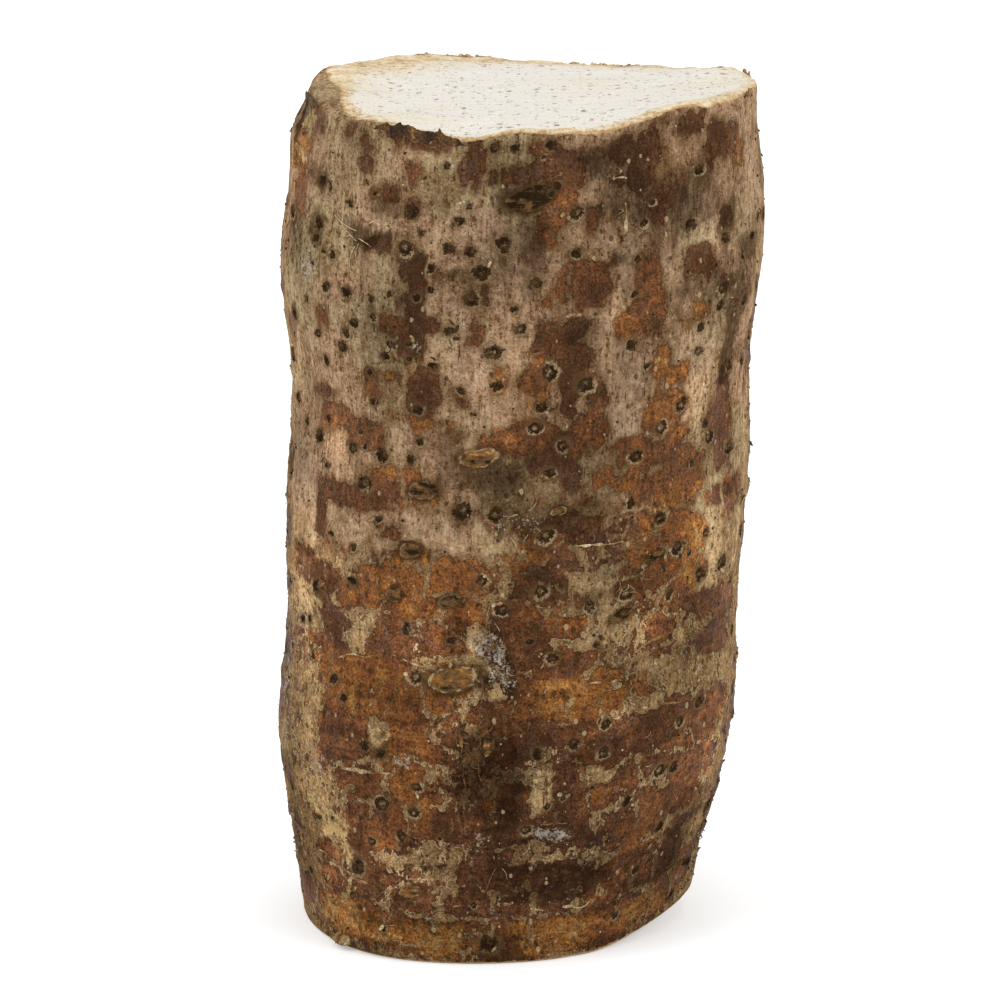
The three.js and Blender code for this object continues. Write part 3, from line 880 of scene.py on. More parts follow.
class Graph:
    """A material's node tree, built by short calls that each give back an output socket."""

    def __init__(self, name: str) -> None:
        """Starts an empty tree under a new material.

        Args:
            name: The material's name.
        """
        self.material = bpy.data.materials.new(name)
        self.material.use_nodes = True
        self.tree = self.material.node_tree
        self.tree.nodes.clear()

    def node(self, kind: str, feeds: dict, **settings: object) -> bpy.types.Node:
        """Adds a node.

        Args:
            kind: The node's type, without the word ShaderNode.
            feeds: A value or a socket for each input, by name or index.
            settings: Properties of the node.

        Returns:
            The node.
        """
        made = self.tree.nodes.new("ShaderNode" + kind)
        for key, value in settings.items():
            setattr(made, key, value)
        for key, value in feeds.items():
            self.feed(made.inputs[key], value)
        return made

    def feed(self, socket: Socket, value: Feed) -> None:
        """Links a socket to an input, or sets the input's own value.

        Args:
            socket: The input.
            value: What goes into it.
        """
        if isinstance(value, Socket):
            self.tree.links.new(value, socket)
        elif isinstance(value, tuple) and len(value) == 3 and socket.type == "RGBA":
            socket.default_value = (*value, 1.0)
        else:
            socket.default_value = value

    def place(self, per_mm: Sequence[float] = (1.0, 1.0, 1.0)) -> Socket:
        """Object coordinates in millimetres, each stretched by its own factor.

        Args:
            per_mm: The factor along each axis.

        Returns:
            The coordinates.
        """
        spot = self.node("TexCoord", {}).outputs["Object"]
        scale = tuple(factor / MM for factor in per_mm)
        return self.node("VectorMath", {0: spot, 1: scale}, operation="MULTIPLY").outputs[0]

    def value(self, name: str) -> Socket:
        """A float attribute of the mesh."""
        return self.node("Attribute", {}, attribute_name=name).outputs["Fac"]

    def math(self, operation: str, a: Feed, b: Feed = 0.0, c: Feed = 0.0) -> Socket:
        """One arithmetic step."""
        return self.node("Math", {0: a, 1: b, 2: c}, operation=operation).outputs[0]

    def total(self, start: Feed, *terms: tuple) -> Socket:
        """A start plus every term, added one after another.

        Args:
            start: What the terms are added to.
            terms: Pairs of a value and the factor it is multiplied by.

        Returns:
            The sum.
        """
        for value, factor in terms:
            start = self.math("MULTIPLY_ADD", value, factor, start)
        return start

    def product(self, first: Feed, *others: Feed) -> Socket:
        """Numbers multiplied together, one after another.

        Args:
            first: The first of them.
            others: The rest.

        Returns:
            The product, which is the first where there are no others.
        """
        for other in others:
            first = self.math("MULTIPLY", first, other)
        return first

    def step(self, value: Feed, low: Feed, high: Feed) -> Socket:
        """Eases a value from 0 at low to 1 at high. Where low is a number above high it falls.

        Args:
            value: The value to ease.
            low: Where the result leaves 0.
            high: Where it reaches 1.

        Returns:
            The eased value.
        """
        feeds = {"Value": value, "From Min": low, "From Max": high, "To Min": 0.0, "To Max": 1.0}
        if isinstance(low, float) and low > high:
            feeds |= {"From Min": high, "From Max": low, "To Min": 1.0, "To Max": 0.0}
        return self.node("MapRange", feeds, interpolation_type="SMOOTHSTEP").outputs[0]

    def noise(self, where: Feed, size: float, detail: float = 3.0, rough: float = 0.55) -> Socket:
        """Fractal noise centred on 0.

        Args:
            where: The coordinates to read it at, in millimetres.
            size: About how far apart its coarsest swells are.
            detail: How many finer octaves it has.
            rough: How strong each octave is beside the one before it.

        Returns:
            The noise.
        """
        feeds = {"Vector": where, "Scale": 1.0 / size, "Detail": detail, "Roughness": rough}
        raw = self.node("TexNoise", feeds).outputs[0]
        return self.math("SUBTRACT", raw, 0.5)

    def cells(self, where: Feed, size: float) -> bpy.types.Node:
        """A Voronoi node with cells of a size in millimetres."""
        return self.node("TexVoronoi", {"Vector": where, "Scale": 1.0 / size})

    def mix(self, share: Feed, a: Feed, b: Feed) -> Socket:
        """A colour share of the way from a to b."""
        made = self.node("Mix", {0: share, 6: a, 7: b}, data_type="RGBA")
        return made.outputs[2]

    def coat(self, under: Feed, over: Feed, *shares: Feed) -> Socket:
        """A colour laid over another, as thickly as the product of the shares."""
        return self.mix(self.product(*shares), under, over)

    def blend(self, share: Feed, a: Feed, b: Feed) -> Socket:
        """A number share of the way from a to b."""
        return self.node("Mix", {0: share, 2: a, 3: b}, data_type="FLOAT").outputs[0]

    def times(self, color: Feed, tint: Feed) -> Socket:
        """Two colours multiplied together."""
        return self.node("VectorMath", {0: color, 1: tint}, operation="MULTIPLY").outputs[0]

    def shade(self, color: Feed, gain: Feed) -> Socket:
        """A colour with its brightness multiplied by a number."""
        return self.node("VectorMath", {0: color, "Scale": gain}, operation="SCALE").outputs[0]

    def ramp(self, share: Feed, stops: Sequence[tuple]) -> Socket:
        """A colour looked up along a scale.

        Args:
            share: Where to look, from 0 to 1.
            stops: The scale, as (place, colour) pairs.

        Returns:
            The colour.
        """
        made = self.node("ValToRGB", {0: share})
        marks = made.color_ramp.elements
        while len(marks) < len(stops):
            marks.new(0.5)
        for mark, (place, color) in zip(marks, stops):
            mark.position = place
            mark.color = (*color, 1.0)
        return made.outputs[0]

    def bump(self, height: Feed, strength: float = 1.0) -> Socket:
        """A normal for relief whose height is given in millimetres."""
        feeds = {"Height": height, "Strength": strength, "Distance": MM}
        return self.node("Bump", feeds).outputs[0]

    def finish(self, **feeds: Feed) -> bpy.types.Material:
        """Closes the tree with a Principled shader.

        Args:
            feeds: Inputs of the shader, with underscores for the spaces in their names.

        Returns:
            The finished material.
        """
        named = {key.replace("_", " "): value for key, value in feeds.items()}
        shader = self.node("BsdfPrincipled", named)
        self.node("OutputMaterial", {"Surface": shader.outputs[0]})
        return self.material


class SkinGraph(Graph):
    """The corm's graph, which also keeps sockets under names for the steps that follow."""

    marks = (
        "bare", "tone", "soil", "thick", "cream", "bright", "frost", "pale", "scar", "plug", "side",
        "bud", "bud_pale", "cut", "rind", "aged", "broad", "blotch", "low", "grime_and_painted_light", "drip",
    )
    # name, stretch along each axis, size, detail, roughness
    noises = (
        ("edge", (1.0, 1.0, 1.0), 1.5, 4.0, 0.62),
        ("ragged", (1.0, 1.0, 0.5), 1.7, 3.0, 0.55),
        ("fine", (1.0, 1.0, 1.0), 0.42, 2.0, 0.6),
        ("upright", (1.0, 1.0, 0.12), 0.8, 2.0, 0.65),
        ("level", (0.14, 0.14, 1.0), 0.9, 2.0, 0.6),
        ("flaky", (0.8, 0.8, 1.0), 1.15, 3.0, 0.6),
        ("crease", (1.0, 1.0, 1.0), 3.4, 3.0, 0.55),
    )

    def __init__(self, name: str) -> None:
        """Starts the tree with the mesh's attributes and the shared noises.

        Args:
            name: The material's name.
        """
        super().__init__(name)
        self.kept = {mark: self.value(mark) for mark in self.marks}
        for key, stretch, size, detail, rough in self.noises:
            self.kept[key] = self.noise(self.place(stretch), size, detail, rough)

    def __getitem__(self, key: str) -> Socket:
        """The socket kept under a name."""
        return self.kept[key]

    def __setitem__(self, key: str, socket: Socket) -> None:
        """Keeps a socket under a name."""
        self.kept[key] = socket

    def by_height(self, high: float, low: float) -> Socket:
        """A number that changes from the corm's upper end to its lower end."""
        return self.blend(self["low"], high, low)


@dataclass(frozen=True)
class CormFinish:
    """The corm's surface: papery skin, worn under-skin, soil, peeled places and cut flesh."""

    name: str = "malanga_skin_and_flesh"
    # papery skin, from its darkest creases to its palest fibres
    papery_scale: tuple = (
        (0.0, (0.038, 0.020, 0.008)),
        (0.22, (0.130, 0.070, 0.028)),
        (0.5, (0.325, 0.217, 0.128)),
        (0.75, (0.45, 0.33, 0.200)),
        (1.0, (0.64, 0.51, 0.345)),
    )
    pink_tint: tuple = (1.07, 0.98, 0.97)
    grey_tint: tuple = (0.96, 1.0, 0.93)
    low_tint: tuple = (1.12, 1.02, 0.80)
    grey_tan: tuple = (0.285, 0.198, 0.108)
    # a pale tan for fibres and brims, also used for painted highlights
    pale_tan_and_highlight: tuple = (0.50, 0.38, 0.215)
    thin_brown: tuple = (0.130, 0.072, 0.030)
    # a dark brown for dust, specks and cracks, also used for painted shade in creases and round buds
    dust_and_shade_brown: tuple = (0.046, 0.022, 0.007)
    # under-skin, from maroon to ochre
    under_skin: tuple = (
        (0.0, (0.064, 0.025, 0.010)),
        (0.2, (0.105, 0.040, 0.016)),
        (0.4, (0.152, 0.054, 0.017)),
        (0.6, (0.205, 0.076, 0.019)),
        (0.8, (0.265, 0.113, 0.026)),
        (1.0, (0.31, 0.165, 0.055)),
    )
    dusk: tuple = (0.062, 0.036, 0.032)  # the violet brown that clouds it
    # a near-black for soil, also used for painted shade in the scars' pits
    soil_and_shade_dark: tuple = (0.024, 0.013, 0.005)
    soil_grey: tuple = (0.062, 0.043, 0.024)
    cream: tuple = (0.58, 0.39, 0.17)
    frost: tuple = (0.37, 0.32, 0.26)
    stain: tuple = (0.34, 0.28, 0.24)  # what ground-in soil leaves of the colour under it
    grime_and_painted_light: float = 0.42  # what one unit of rubbed-in soil leaves of the brightness under it; negative units lighten, which at the near side's edges is painted light
    # cut flesh
    flesh: tuple = (0.645, 0.615, 0.555)
    flesh_warm: tuple = (0.63, 0.575, 0.47)
    rind: tuple = (
        (0.0, (0.20, 0.115, 0.055)),
        (0.3, (0.38, 0.265, 0.145)),
        (0.6, (0.57, 0.445, 0.275)),
        (1.0, (0.67, 0.59, 0.43)),
    )
    rind_edge: tuple = (0.40, 0.215, 0.075)
    flecks: tuple = (
        # size, reach, colour
        (1.75, 0.39, (0.30, 0.16, 0.13)),
        (1.1, 0.34, (0.17, 0.105, 0.065)),
    )

    def papery(self, g: SkinGraph) -> Socket:
        """The colour of the papery skin: a scale of lightness, smudged, cracked and stained.

        Args:
            g: The graph to build in.

        Returns:
            The colour.
        """
        narrow = g.product(g.step(g["bare"], -3.2, -0.8), g["low"])
        light = g.total(
            0.5, (g["low"], -0.07), (narrow, 0.18), (g["pale"], 0.17),
            (g["blotch"], g.by_height(-0.05, -0.10)), (g["flaky"], g.by_height(0.9, 1.3)),
            (g["upright"], g.by_height(1.0, 1.1)), (g["ragged"], 0.6),
            (g["fine"], g.by_height(0.9, 1.3)),
        )
        tint = g.mix(g.step(g["broad"], -0.4, 0.4), self.pink_tint, self.grey_tint)
        tan = g.times(g.ramp(light, self.papery_scale), g.mix(g["low"], tint, self.low_tint))
        smudge = g.total(g["edge"], (g["blotch"], 0.20), (g["upright"], 0.5))
        tan = g.coat(tan, self.thin_brown, g.step(smudge, 0.03, 0.26), 0.62)
        trail = g.total(g["drip"], (g["upright"], 4.0))
        tan = g.coat(tan, self.thin_brown, g.step(trail, 0.5, 1.2), 0.5)
        crack = g.total(g.noise(g.place((1.0, 1.0, 0.09)), 0.55, 1.0), (g["drip"], 0.10))
        crack = g.product(g.step(crack, 0.18, 0.22), g.step(g["edge"], -0.12, 0.06))
        return g.coat(tan, self.dust_and_shade_brown, crack, 0.8)

    def worn(self, g: SkinGraph) -> Socket:
        """The colour of the under-skin where the papery skin is worn away.

        Args:
            g: The graph to build in.

        Returns:
            The colour.
        """
        drift = g.total(
            g["tone"], (g["blotch"], 0.16), (g["broad"], 0.06),
            (g.math("SUBTRACT", g["low"], 1.0), 0.13), (g["crease"], 0.9), (g["ragged"], 0.8),
            (g["edge"], 0.4), (g["level"], 0.25),
        )
        color = g.ramp(drift, self.under_skin)
        clot = g.total(g["edge"], (g["blotch"], -0.10))
        color = g.coat(color, self.dust_and_shade_brown, g.step(clot, -0.06, -0.2), 0.75)
        dusk = g.product(g.step(g["ragged"], 0.02, 0.12), g.step(g["broad"], -0.5, 0.5))
        color = g.coat(color, self.dusk, dusk, g.by_height(0.45, 0.35))
        streak = g.mix(g["low"], g["upright"], g["level"])
        gain = g.product(
            g.total(1.08, (g["fine"], 3.3)),
            g.total(1.03, (streak, g.by_height(1.2, 0.8))),
            g.total(1.0, (g["flaky"], 1.8)),
        )
        return g.shade(color, gain)

    def cut_flesh(self, g: SkinGraph) -> Socket:
        """The colour of a cut face, from its brown rim inwards.

        Args:
            g: The graph to build in.

        Returns:
            The colour.
        """
        inward = g.total(g["cut"], (g["edge"], 2.2), (g["flaky"], 2.4))
        over = g.total(g.math("DIVIDE", inward, g["rind"]), (g["ragged"], 1.4), (g["fine"], 1.0))
        white = self.flecked(g, over)
        light = g.total(
            0.64, (g["flaky"], 1.6), (g["blotch"], 0.12), (g["level"], 1.2), (g["fine"], 1.2)
        )
        color = g.mix(g.step(over, 0.6, 1.25), g.ramp(light, self.rind), white)
        color = g.coat(color, self.rind_edge, g.step(inward, 0.95, 0.1), 0.7)
        return g.coat(color, self.rind_edge, g["aged"], g.step(g["broad"], -0.8, 0.6), 0.55)

    def flecked(self, g: SkinGraph, over: Feed) -> Socket:
        """The white flesh, scored by the knife, with a dot in some cells of each size of fleck.

        Args:
            g: The graph to build in.
            over: How far in from the rim a place lies, as a share of the rind's width.

        Returns:
            The colour.
        """
        warmth = g.math("MAXIMUM", g.step(g["broad"], 0.1, 1.1), g.step(over, 1.9, 1.0))
        white = g.mix(warmth, self.flesh, self.flesh_warm)
        score = g.noise(g.place((0.12, 1.0, 1.0)), 1.3, 3.0, 0.6)
        white = g.shade(white, g.total(1.0, (score, 0.28), (g["fine"], 0.45)))
        wander = g.node("CombineXYZ", {0: g["edge"], 1: g["ragged"], 2: g["fine"]})
        feeds = {0: wander.outputs[0], 1: (2.6,) * 3, 2: g.place((1.0, 0.8, 1.0))}
        bent = g.node("VectorMath", feeds, operation="MULTIPLY_ADD")
        for size, reach, color in self.flecks:
            cell = g.cells(bent.outputs[0], size)
            chance = g.node("SeparateColor", {0: cell.outputs["Color"]}).outputs
            limit = g.product(g.math("POWER", chance[0], 1.6), reach)
            dot = g.step(g.math("SUBTRACT", limit, cell.outputs["Distance"]), -0.03, 0.07)
            white = g.coat(white, color, dot, g.total(0.5, (chance[1], 0.5)))
        return white

    def wear_through(self, g: SkinGraph) -> Socket:
        """Papery skin that thins to brown, ends in a pale lip of torn fibres with a painted highlight on
        it, and lets the under-skin show, darkened by a painted shadow just inside the lip.

        Args:
            g: The graph to build in.

        Returns:
            The colour.
        """
        depth = g.math("ADD", g["bare"], g["frayed"])
        depth = g["bare_depth"] = g.total(depth, (g["flaky"], g.by_height(3.0, 3.6)))
        thin = g.shade(self.thin_brown, g.total(1.1, (g["fine"], 3.0)))
        color = g.coat(self.papery(g), thin, g.step(depth, -1.9, -0.5), 0.7)
        # The lip: pale torn fibres, with a painted highlight on the edge.
        lip = g.product(g.step(depth, -0.55, -0.3), g.step(depth, 0.05, -0.15))
        color = g.coat(color, self.pale_tan_and_highlight, lip, g.step(g["edge"], -0.1, 0.06), g.by_height(0.05, 0.7))
        bare = g["bareness"] = g.step(depth, g.by_height(-0.55, -0.30), g.by_height(0.45, 0.25))
        # Painted shadow: the under-skin darkened just inside the edge of the papery skin.
        under = g.product(g.step(depth, 0.65, 0.15), g.step(g["ragged"], 0.08, -0.05))
        worn = g.shade(self.worn(g), g.total(1.0, (under, -0.5)))
        return g.coat(color, worn, bare, g.total(g.by_height(0.9, 1.0), (g["flaky"], 0.8)))

    def painted_flake_edges(self, g: SkinGraph, color: Feed) -> Socket:
        """Painted shade in creases along one level of a noise, each with a painted highlight on the
        raised flake edge beside it.

        Args:
            g: The graph to build in.
            color: The colour under this step.

        Returns:
            The colour.
        """
        some = g.step(g["ragged"], g.by_height(0.06, -0.06), g.by_height(0.14, 0.04))
        some = g.product(some, g.blend(g["bareness"], 1.0, 0.22))
        # A pale band: painted highlight on a raised flake edge.
        lit_edge = g.product(g.step(g["crease"], 0.0, 0.012), g.step(g["crease"], 0.034, 0.020))
        color = g.coat(color, self.pale_tan_and_highlight, lit_edge, some, 0.75)
        # A dark band: painted shade in the crease under the flake.
        dark = g.product(g.step(g["crease"], -0.030, -0.012), g.step(g["crease"], 0.006, -0.004))
        return g.coat(color, self.dust_and_shade_brown, dark, some, 0.75)

    def soiled(self, g: SkinGraph, color: Feed) -> Socket:
        """Patches of soil over their own stain, broad darkening by rubbed-in soil, and lightening where
        the zones are negative, which is painted light at the near side's edges.

        Args:
            g: The graph to build in.
            color: The colour under this step.

        Returns:
            The colour.
        """
        depth = g.total(g["soil"], (g["frayed"], 0.8), (g["upright"], 4.0))
        share = g["soil_share"] = g.product(g.step(depth, -1.3, 0.4), g["thick"])
        earth = g.mix(g.step(g["edge"], 0.0, 0.14), self.soil_and_shade_dark, self.soil_grey)
        earth = g.mix(g.total(0.4, (g["edge"], 2.0)), g.times(color, self.stain), earth)
        # Broad darkening by rubbed-in soil; negative zones lighten instead, and at the near side's edges
        # that is painted light.
        dirt_and_light = g.product(g["grime_and_painted_light"], g.total(1.0, (g["edge"], 2.6)))
        return g.shade(g.mix(share, color, earth), g.math("POWER", self.grime_and_painted_light, dirt_and_light))

    def peeled(self, g: SkinGraph, color: Feed) -> Socket:
        """Places peeled to the pale raw flesh, with grain and pores.

        Args:
            g: The graph to build in.
            color: The colour under this step.

        Returns:
            The colour.
        """
        depth = g.total(g["cream"], (g["frayed"], 0.9), (g["flaky"], 3.0))
        tan = g.mix(g.step(g["flaky"], -0.04, 0.12), self.cream, self.grey_tan)
        tan = g.mix(g.step(g["edge"], 0.02, 0.18), tan, self.under_skin[3][1])
        raw = g.shade(tan, g.product(g.total(1.0, (g["upright"], 0.9)), g.total(1.0, (g["fine"], 1.4))))
        return g.mix(g.step(depth, -0.15, 0.1), color, g.shade(raw, g.total(0.4, (g["bright"], 0.6))))

    def scarred(self, g: SkinGraph, color: Feed) -> Socket:
        """Root scars: a brown halo, a dark pit of darker scar tissue with painted shade in the hollow, a
        plug in its middle, and a pale crescent that is a painted highlight on one side of the rim.

        Args:
            g: The graph to build in.
            color: The colour under this step.

        Returns:
            The colour.
        """
        reach = g.total(g["scar"], (g["ragged"], 0.8), (g["fine"], 1.2), (g["flaky"], 1.0))
        g["scar_reach"] = reach
        color = g.coat(color, self.thin_brown, g.step(reach, 2.0, 1.0), 0.6)
        # The pit: darker scar tissue with painted shade in the hollow.
        pit = g["scar_pit"] = g.step(reach, 1.05, 0.75)
        gaps = g.step(g.total(g["edge"], (g["side"], 0.10)), 0.14, -0.06)
        color = g.coat(color, self.soil_and_shade_dark, pit, g.total(0.4, (gaps, 0.5)))
        lit = g.total(0.1, (g["plug"], 0.7), (g["edge"], 2.6), (g["fine"], 2.6), (g["flaky"], 2.2))
        scale = (
            (0.0, self.soil_and_shade_dark), (0.35, self.thin_brown), (0.75, self.grey_tan), (1.0, self.pale_tan_and_highlight)
        )
        color = g.coat(color, g.ramp(lit, scale), g.step(reach, 0.66, 0.35), 0.8)
        # Painted highlight: a pale crescent on the rim, on one side of the scar, most often below.
        crescent = g.product(g.step(reach, 1.5, 1.25), g.step(reach, 0.95, 1.15))
        below = g.step(g.total(g["side"], (g["ragged"], 4.0)), 0.5, -0.6)
        below = g.product(below, g.step(g["plug"], 0.0, 0.6))
        return g.coat(color, self.pale_tan_and_highlight, crescent, below, 0.6)

    def budded(self, g: SkinGraph, color: Feed) -> Socket:
        """Dormant buds: a painted shadow round each, a woody middle and a pale brim.

        Args:
            g: The graph to build in.
            color: The colour under this step.

        Returns:
            The colour.
        """
        bud = g.total(g["bud"], (g["ragged"], 0.5))
        # Painted shadow round the bud's raised rim.
        color = g.coat(color, self.dust_and_shade_brown, g.step(bud, 1.7, 1.1), 0.7)
        wood = g.total(0.0, (g["bud_pale"], 0.5), (g["flaky"], 1.6), (g["level"], 1.4))
        ochre = self.under_skin[4][1]
        scale = ((0.0, self.soil_and_shade_dark), (0.3, self.thin_brown), (0.65, ochre), (1.0, self.pale_tan_and_highlight))
        color = g.coat(color, g.ramp(wood, scale), g.step(bud, 1.05, 0.92))
        brim = g.product(g.step(bud, 0.86, 0.94), g.step(bud, 1.12, 1.02))
        pale = g.product(g["bud_pale"], g.step(g["edge"], -0.06, 0.08))
        return g.coat(color, self.pale_tan_and_highlight, brim, pale, 0.8)

    def specked(self, g: SkinGraph, color: Feed) -> Socket:
        """Dark specks in some cells of the skin, and pale crumbs in fewer of them, which also serve as
        painted glints.

        Args:
            g: The graph to build in.
            color: The colour under this step.

        Returns:
            The colour.
        """
        cell = g.cells(g.place((1.0, 1.0, 0.7)), 1.7)
        chance = g.node("SeparateColor", {0: cell.outputs["Color"]}).outputs
        near = g.total(cell.outputs["Distance"], (g["edge"], 0.5))
        reach = g.product(chance[0], g.by_height(0.27, 0.36))
        color = g.coat(color, self.dust_and_shade_brown, g.step(g.math("SUBTRACT", reach, near), -0.03, 0.09), 0.7)
        # Pale crumbs, which also serve as painted glints.
        lone = g.product(chance[1], g.step(chance[0], 0.5, 0.3), 0.27)
        return g.coat(color, self.pale_tan_and_highlight, g.step(g.math("SUBTRACT", lone, near), -0.01, 0.04), 0.6)

    def bloomed(self, g: SkinGraph, color: Feed) -> Socket:
        """The dried white bloom, in grains.

        Args:
            g: The graph to build in.
            color: The colour under this step.

        Returns:
            The colour.
        """
        bloom = g.total(g["frost"], (g["edge"], 1.8), (g["fine"], 2.4))
        ice = g.shade(self.frost, g.total(0.9, (g["edge"], 3.0)))
        return g.coat(color, ice, g.step(bloom, 0.6, 1.0), 0.75)

    def relief(self, g: SkinGraph) -> Socket:
        """The fine relief of the skin in millimetres, level on the cut faces.

        Args:
            g: The graph to build in.

        Returns:
            The rise.
        """
        reach = g["scar_reach"]
        ridge = g.product(g.step(reach, 1.6, 1.15), g.step(reach, 0.75, 1.05))
        rise = g.total(
            g.product(g.step(g["bare_depth"], -0.3, 0.3), -0.28), (g["fine"], 0.34), (g["flaky"], 0.9),
            (ridge, 0.25), (g["scar_pit"], -0.35), (g.step(reach, 0.68, 0.4), 0.4),
        )
        return g.product(rise, g.step(g["cut"], 0.4, -0.4))

    def build(self) -> bpy.types.Material:
        """Lays the steps over each other from the papery skin to the cut faces.

        Returns:
            The finished material.
        """
        g = SkinGraph(self.name)
        g["frayed"] = g.total(g.product(g["ragged"], 6.0), (g["fine"], 0.5))
        color = self.wear_through(g)
        steps = (
            self.painted_flake_edges, self.soiled, self.peeled, self.scarred, self.budded, self.specked, self.bloomed
        )
        for lay in steps:
            color = lay(g, color)
        inside = g.step(g.total(g["cut"], (g["edge"], 1.6)), -0.1, 0.12)
        color = g.mix(inside, color, self.cut_flesh(g))
        gloss = g.blend(g["soil_share"], g.blend(g["bareness"], 0.8, 0.4), 0.85)
        shine = g.blend(g["bareness"], 0.0, 0.03)
        relief = g.bump(self.relief(g))
        return g.finish(Base_Color=color, Roughness=gloss, Specular_IOR_Level=shine, Normal=relief)


# --- The pieces ---

# How much higher or lower the upper rim stands than a flat cut: bearing, half width in
# degrees, rise in millimetres.
RIM_LIFTS = (
    (-70, 22, 2.4), (-112, 12, 1.6), (-40, 8, 0.9), (-15, 7, -1.0), (17, 9, -0.9), (42, 10, 0.9),
    (-143, 14, 0.9), (163, 24, -0.75), (112, 11, 1.2),
)

# Old leaf bases that ring the corm: height and rise.
LEAF_RINGS = (
    (11.8, 0.5), (21.8, 0.45), (37.0, 0.3), (48.0, 0.25), (59.5, 0.45), (71.0, 0.2), (83.8, 0.4),
    (98.0, 0.2), (110.0, 0.3), (125.0, 0.25), (141.0, 0.2),
)

# Raised lines on the skin: bearing and height at both ends, half width, rise, place on the
# colour scale.
RIDGES = (
    (-3, 12.0, 33, 11.4, 0.24, 0.26, 0.80), (1, 22.3, 20, 21.0, 0.24, 0.26, 0.62),
    (-63, 19.6, -34, 12.6, 0.26, 0.26, 0.78), (-64, 14.2, -46, 8.8, 0.24, 0.24, 0.72),
    (-34, 12.8, -2, 11.8, 0.20, 0.22, 0.66), (8, 84.0, 29, 83.5, 0.22, 0.26, 0.82),
    (-53, 36.6, -28, 38.6, 0.26, 0.26, 0.78), (25, 38.0, 41, 36.4, 0.22, 0.24, 0.82),
    (1, 29.6, 20, 29.2, 0.18, 0.20, 0.64), (54, 125.3, 63, 125.1, 0.22, 0.22, 0.84),
    (-31, 110.2, -17, 106.8, 0.26, 0.26, 0.58), (20, 153.8, 25.5, 153.0, 0.20, 0.20, 0.85),
    (24.2, 149.5, 24.8, 140.5, 0.22, 0.20, 0.78), (-55, 58.4, -36, 62.0, 0.24, 0.26, 0.74),
    (-36, 62.0, -20, 61.0, 0.22, 0.26, 0.80), (3, 56.6, 30, 55.6, 0.20, 0.22, 0.70),
    (30, 49.4, 48, 46.6, 0.20, 0.22, 0.74), (50, 46.2, 55, 34.0, 0.20, 0.22, 0.74),
    (-21, 50.5, -12, 49.0, 0.22, 0.22, 0.80), (56, 31.5, 70, 32.6, 0.20, 0.22, 0.72),
    (-12, 50, -10, 33, 0.28, 0.40, 0.52), (-7.5, 48, -6.2, 34, 0.26, 0.40, 0.45),
    (-62, 74, -55, 62, 0.24, 0.24, 0.80), (48, 100.5, 60, 96.5, 0.18, 0.20, 0.66),
    (0, 128.3, 15, 128.8, 0.18, 0.18, 0.60), (40, 140.6, 52, 139.4, 0.22, 0.20, 0.72),
    (30, 60.5, 46, 61.8, 0.18, 0.20, 0.68), (-19, 35.2, -13, 35.0, 0.20, 0.22, 0.70),
    (84, 12, 120, 13, 0.26, 0.26, 0.76), (100, 36, 128, 38, 0.26, 0.26, 0.76),
    (150, 21, 186, 22, 0.24, 0.26, 0.70), (196, 60, 226, 58, 0.24, 0.26, 0.76),
    (140, 84, 168, 83, 0.24, 0.26, 0.76), (214, 12, 246, 13, 0.26, 0.26, 0.76),
    (238, 37, 262, 38, 0.24, 0.26, 0.72), (120, 60, 140, 61, 0.24, 0.26, 0.76),
    (256, 84, 276, 83, 0.22, 0.24, 0.76), (170, 110, 190, 111, 0.20, 0.22, 0.70),
)

# Torn skin: bearing at both ends, level, way (1 up, -1 down), height, outward lean, place on
# the colour scale.
TORN_STRETCHES = (
    (-40, -14.5, 164, 1, 0.6, 0.9, 0.21), (66, 71.5, 164, 1, 0.3, 0.5, 0.42),
    (103, 110, 164, 1, 0.12, 0.2, 0.75), (118, 126, 164, 1, 0.12, 0.2, 0.8),
    (146, 170, 164, 1, 0.06, 0.2, 0.85), (186, 212, 164, 1, 0.06, 0.1, 0.85),
    (-84, -68, 164, 1, 0.25, 0.3, 0.24), (-52, -44, 1.4, -1, 0.2, 1.5, 0.62),
    (62, 80, 3.5, 1, 1.0, 1.3, 0.3), (70, 88, 8.5, 1, 0.6, 1.1, 0.25),
    (208, 224, 12, 1, 0.6, 1.0, 0.35), (130, 142, 40, 1, 0.4, 0.8, 0.5),
)

# Crests in it: bearing, rise, half width in degrees.
TORN_PEAKS = (
    (-21.5, 1.5, 1.5), (-28.5, 0.7, 1.6), (-32, 0.8, 1.8), (-36, 0.3, 1.5), (69, 0.5, 1.2),
    (106, 0.2, 1.2), (121, 0.2, 1.4), (-72, 0.5, 1.6), (-79, 0.4, 2.0), (-48, 0.4, 2.0),
    (74, 0.4, 1.8),
)

# Hairs: bearing, height, how far they spread in degrees and in millimetres, how many, length,
# radius, place on the colour scale.
HAIR_TUFTS = (
    (-43, 143, 2.5, 2.0, 7, 6.5, 0.09, 0.85), (-8, 41, 4, 9, 12, 3.5, 0.10, 0.40),
    (4, 19, 28, 6, 46, 3.2, 0.05, 0.10), (2, 14, 8, 9, 5, 5.0, 0.06, 0.66),
    (-4, 62, 5, 6, 8, 2.4, 0.07, 0.80), (-2, 88, 5, 4, 5, 2.6, 0.07, 0.80),
    (45, 15, 16, 5, 30, 3.0, 0.05, 0.10), (0, 80, 70, 78, 50, 1.8, 0.05, 0.70),
    (0, 50, 70, 48, 70, 2.0, 0.05, 0.12), (180, 60, 106, 58, 150, 2.2, 0.05, 0.40),
    (75, 16, 5, 5, 26, 2.6, 0.08, 0.30), (-60, 40, 10, 20, 16, 2.4, 0.06, 0.72),
    (-39, 47, 5, 4, 10, 2.0, 0.08, 0.66), (30, 73, 5, 3, 10, 2.0, 0.07, 0.70),
)


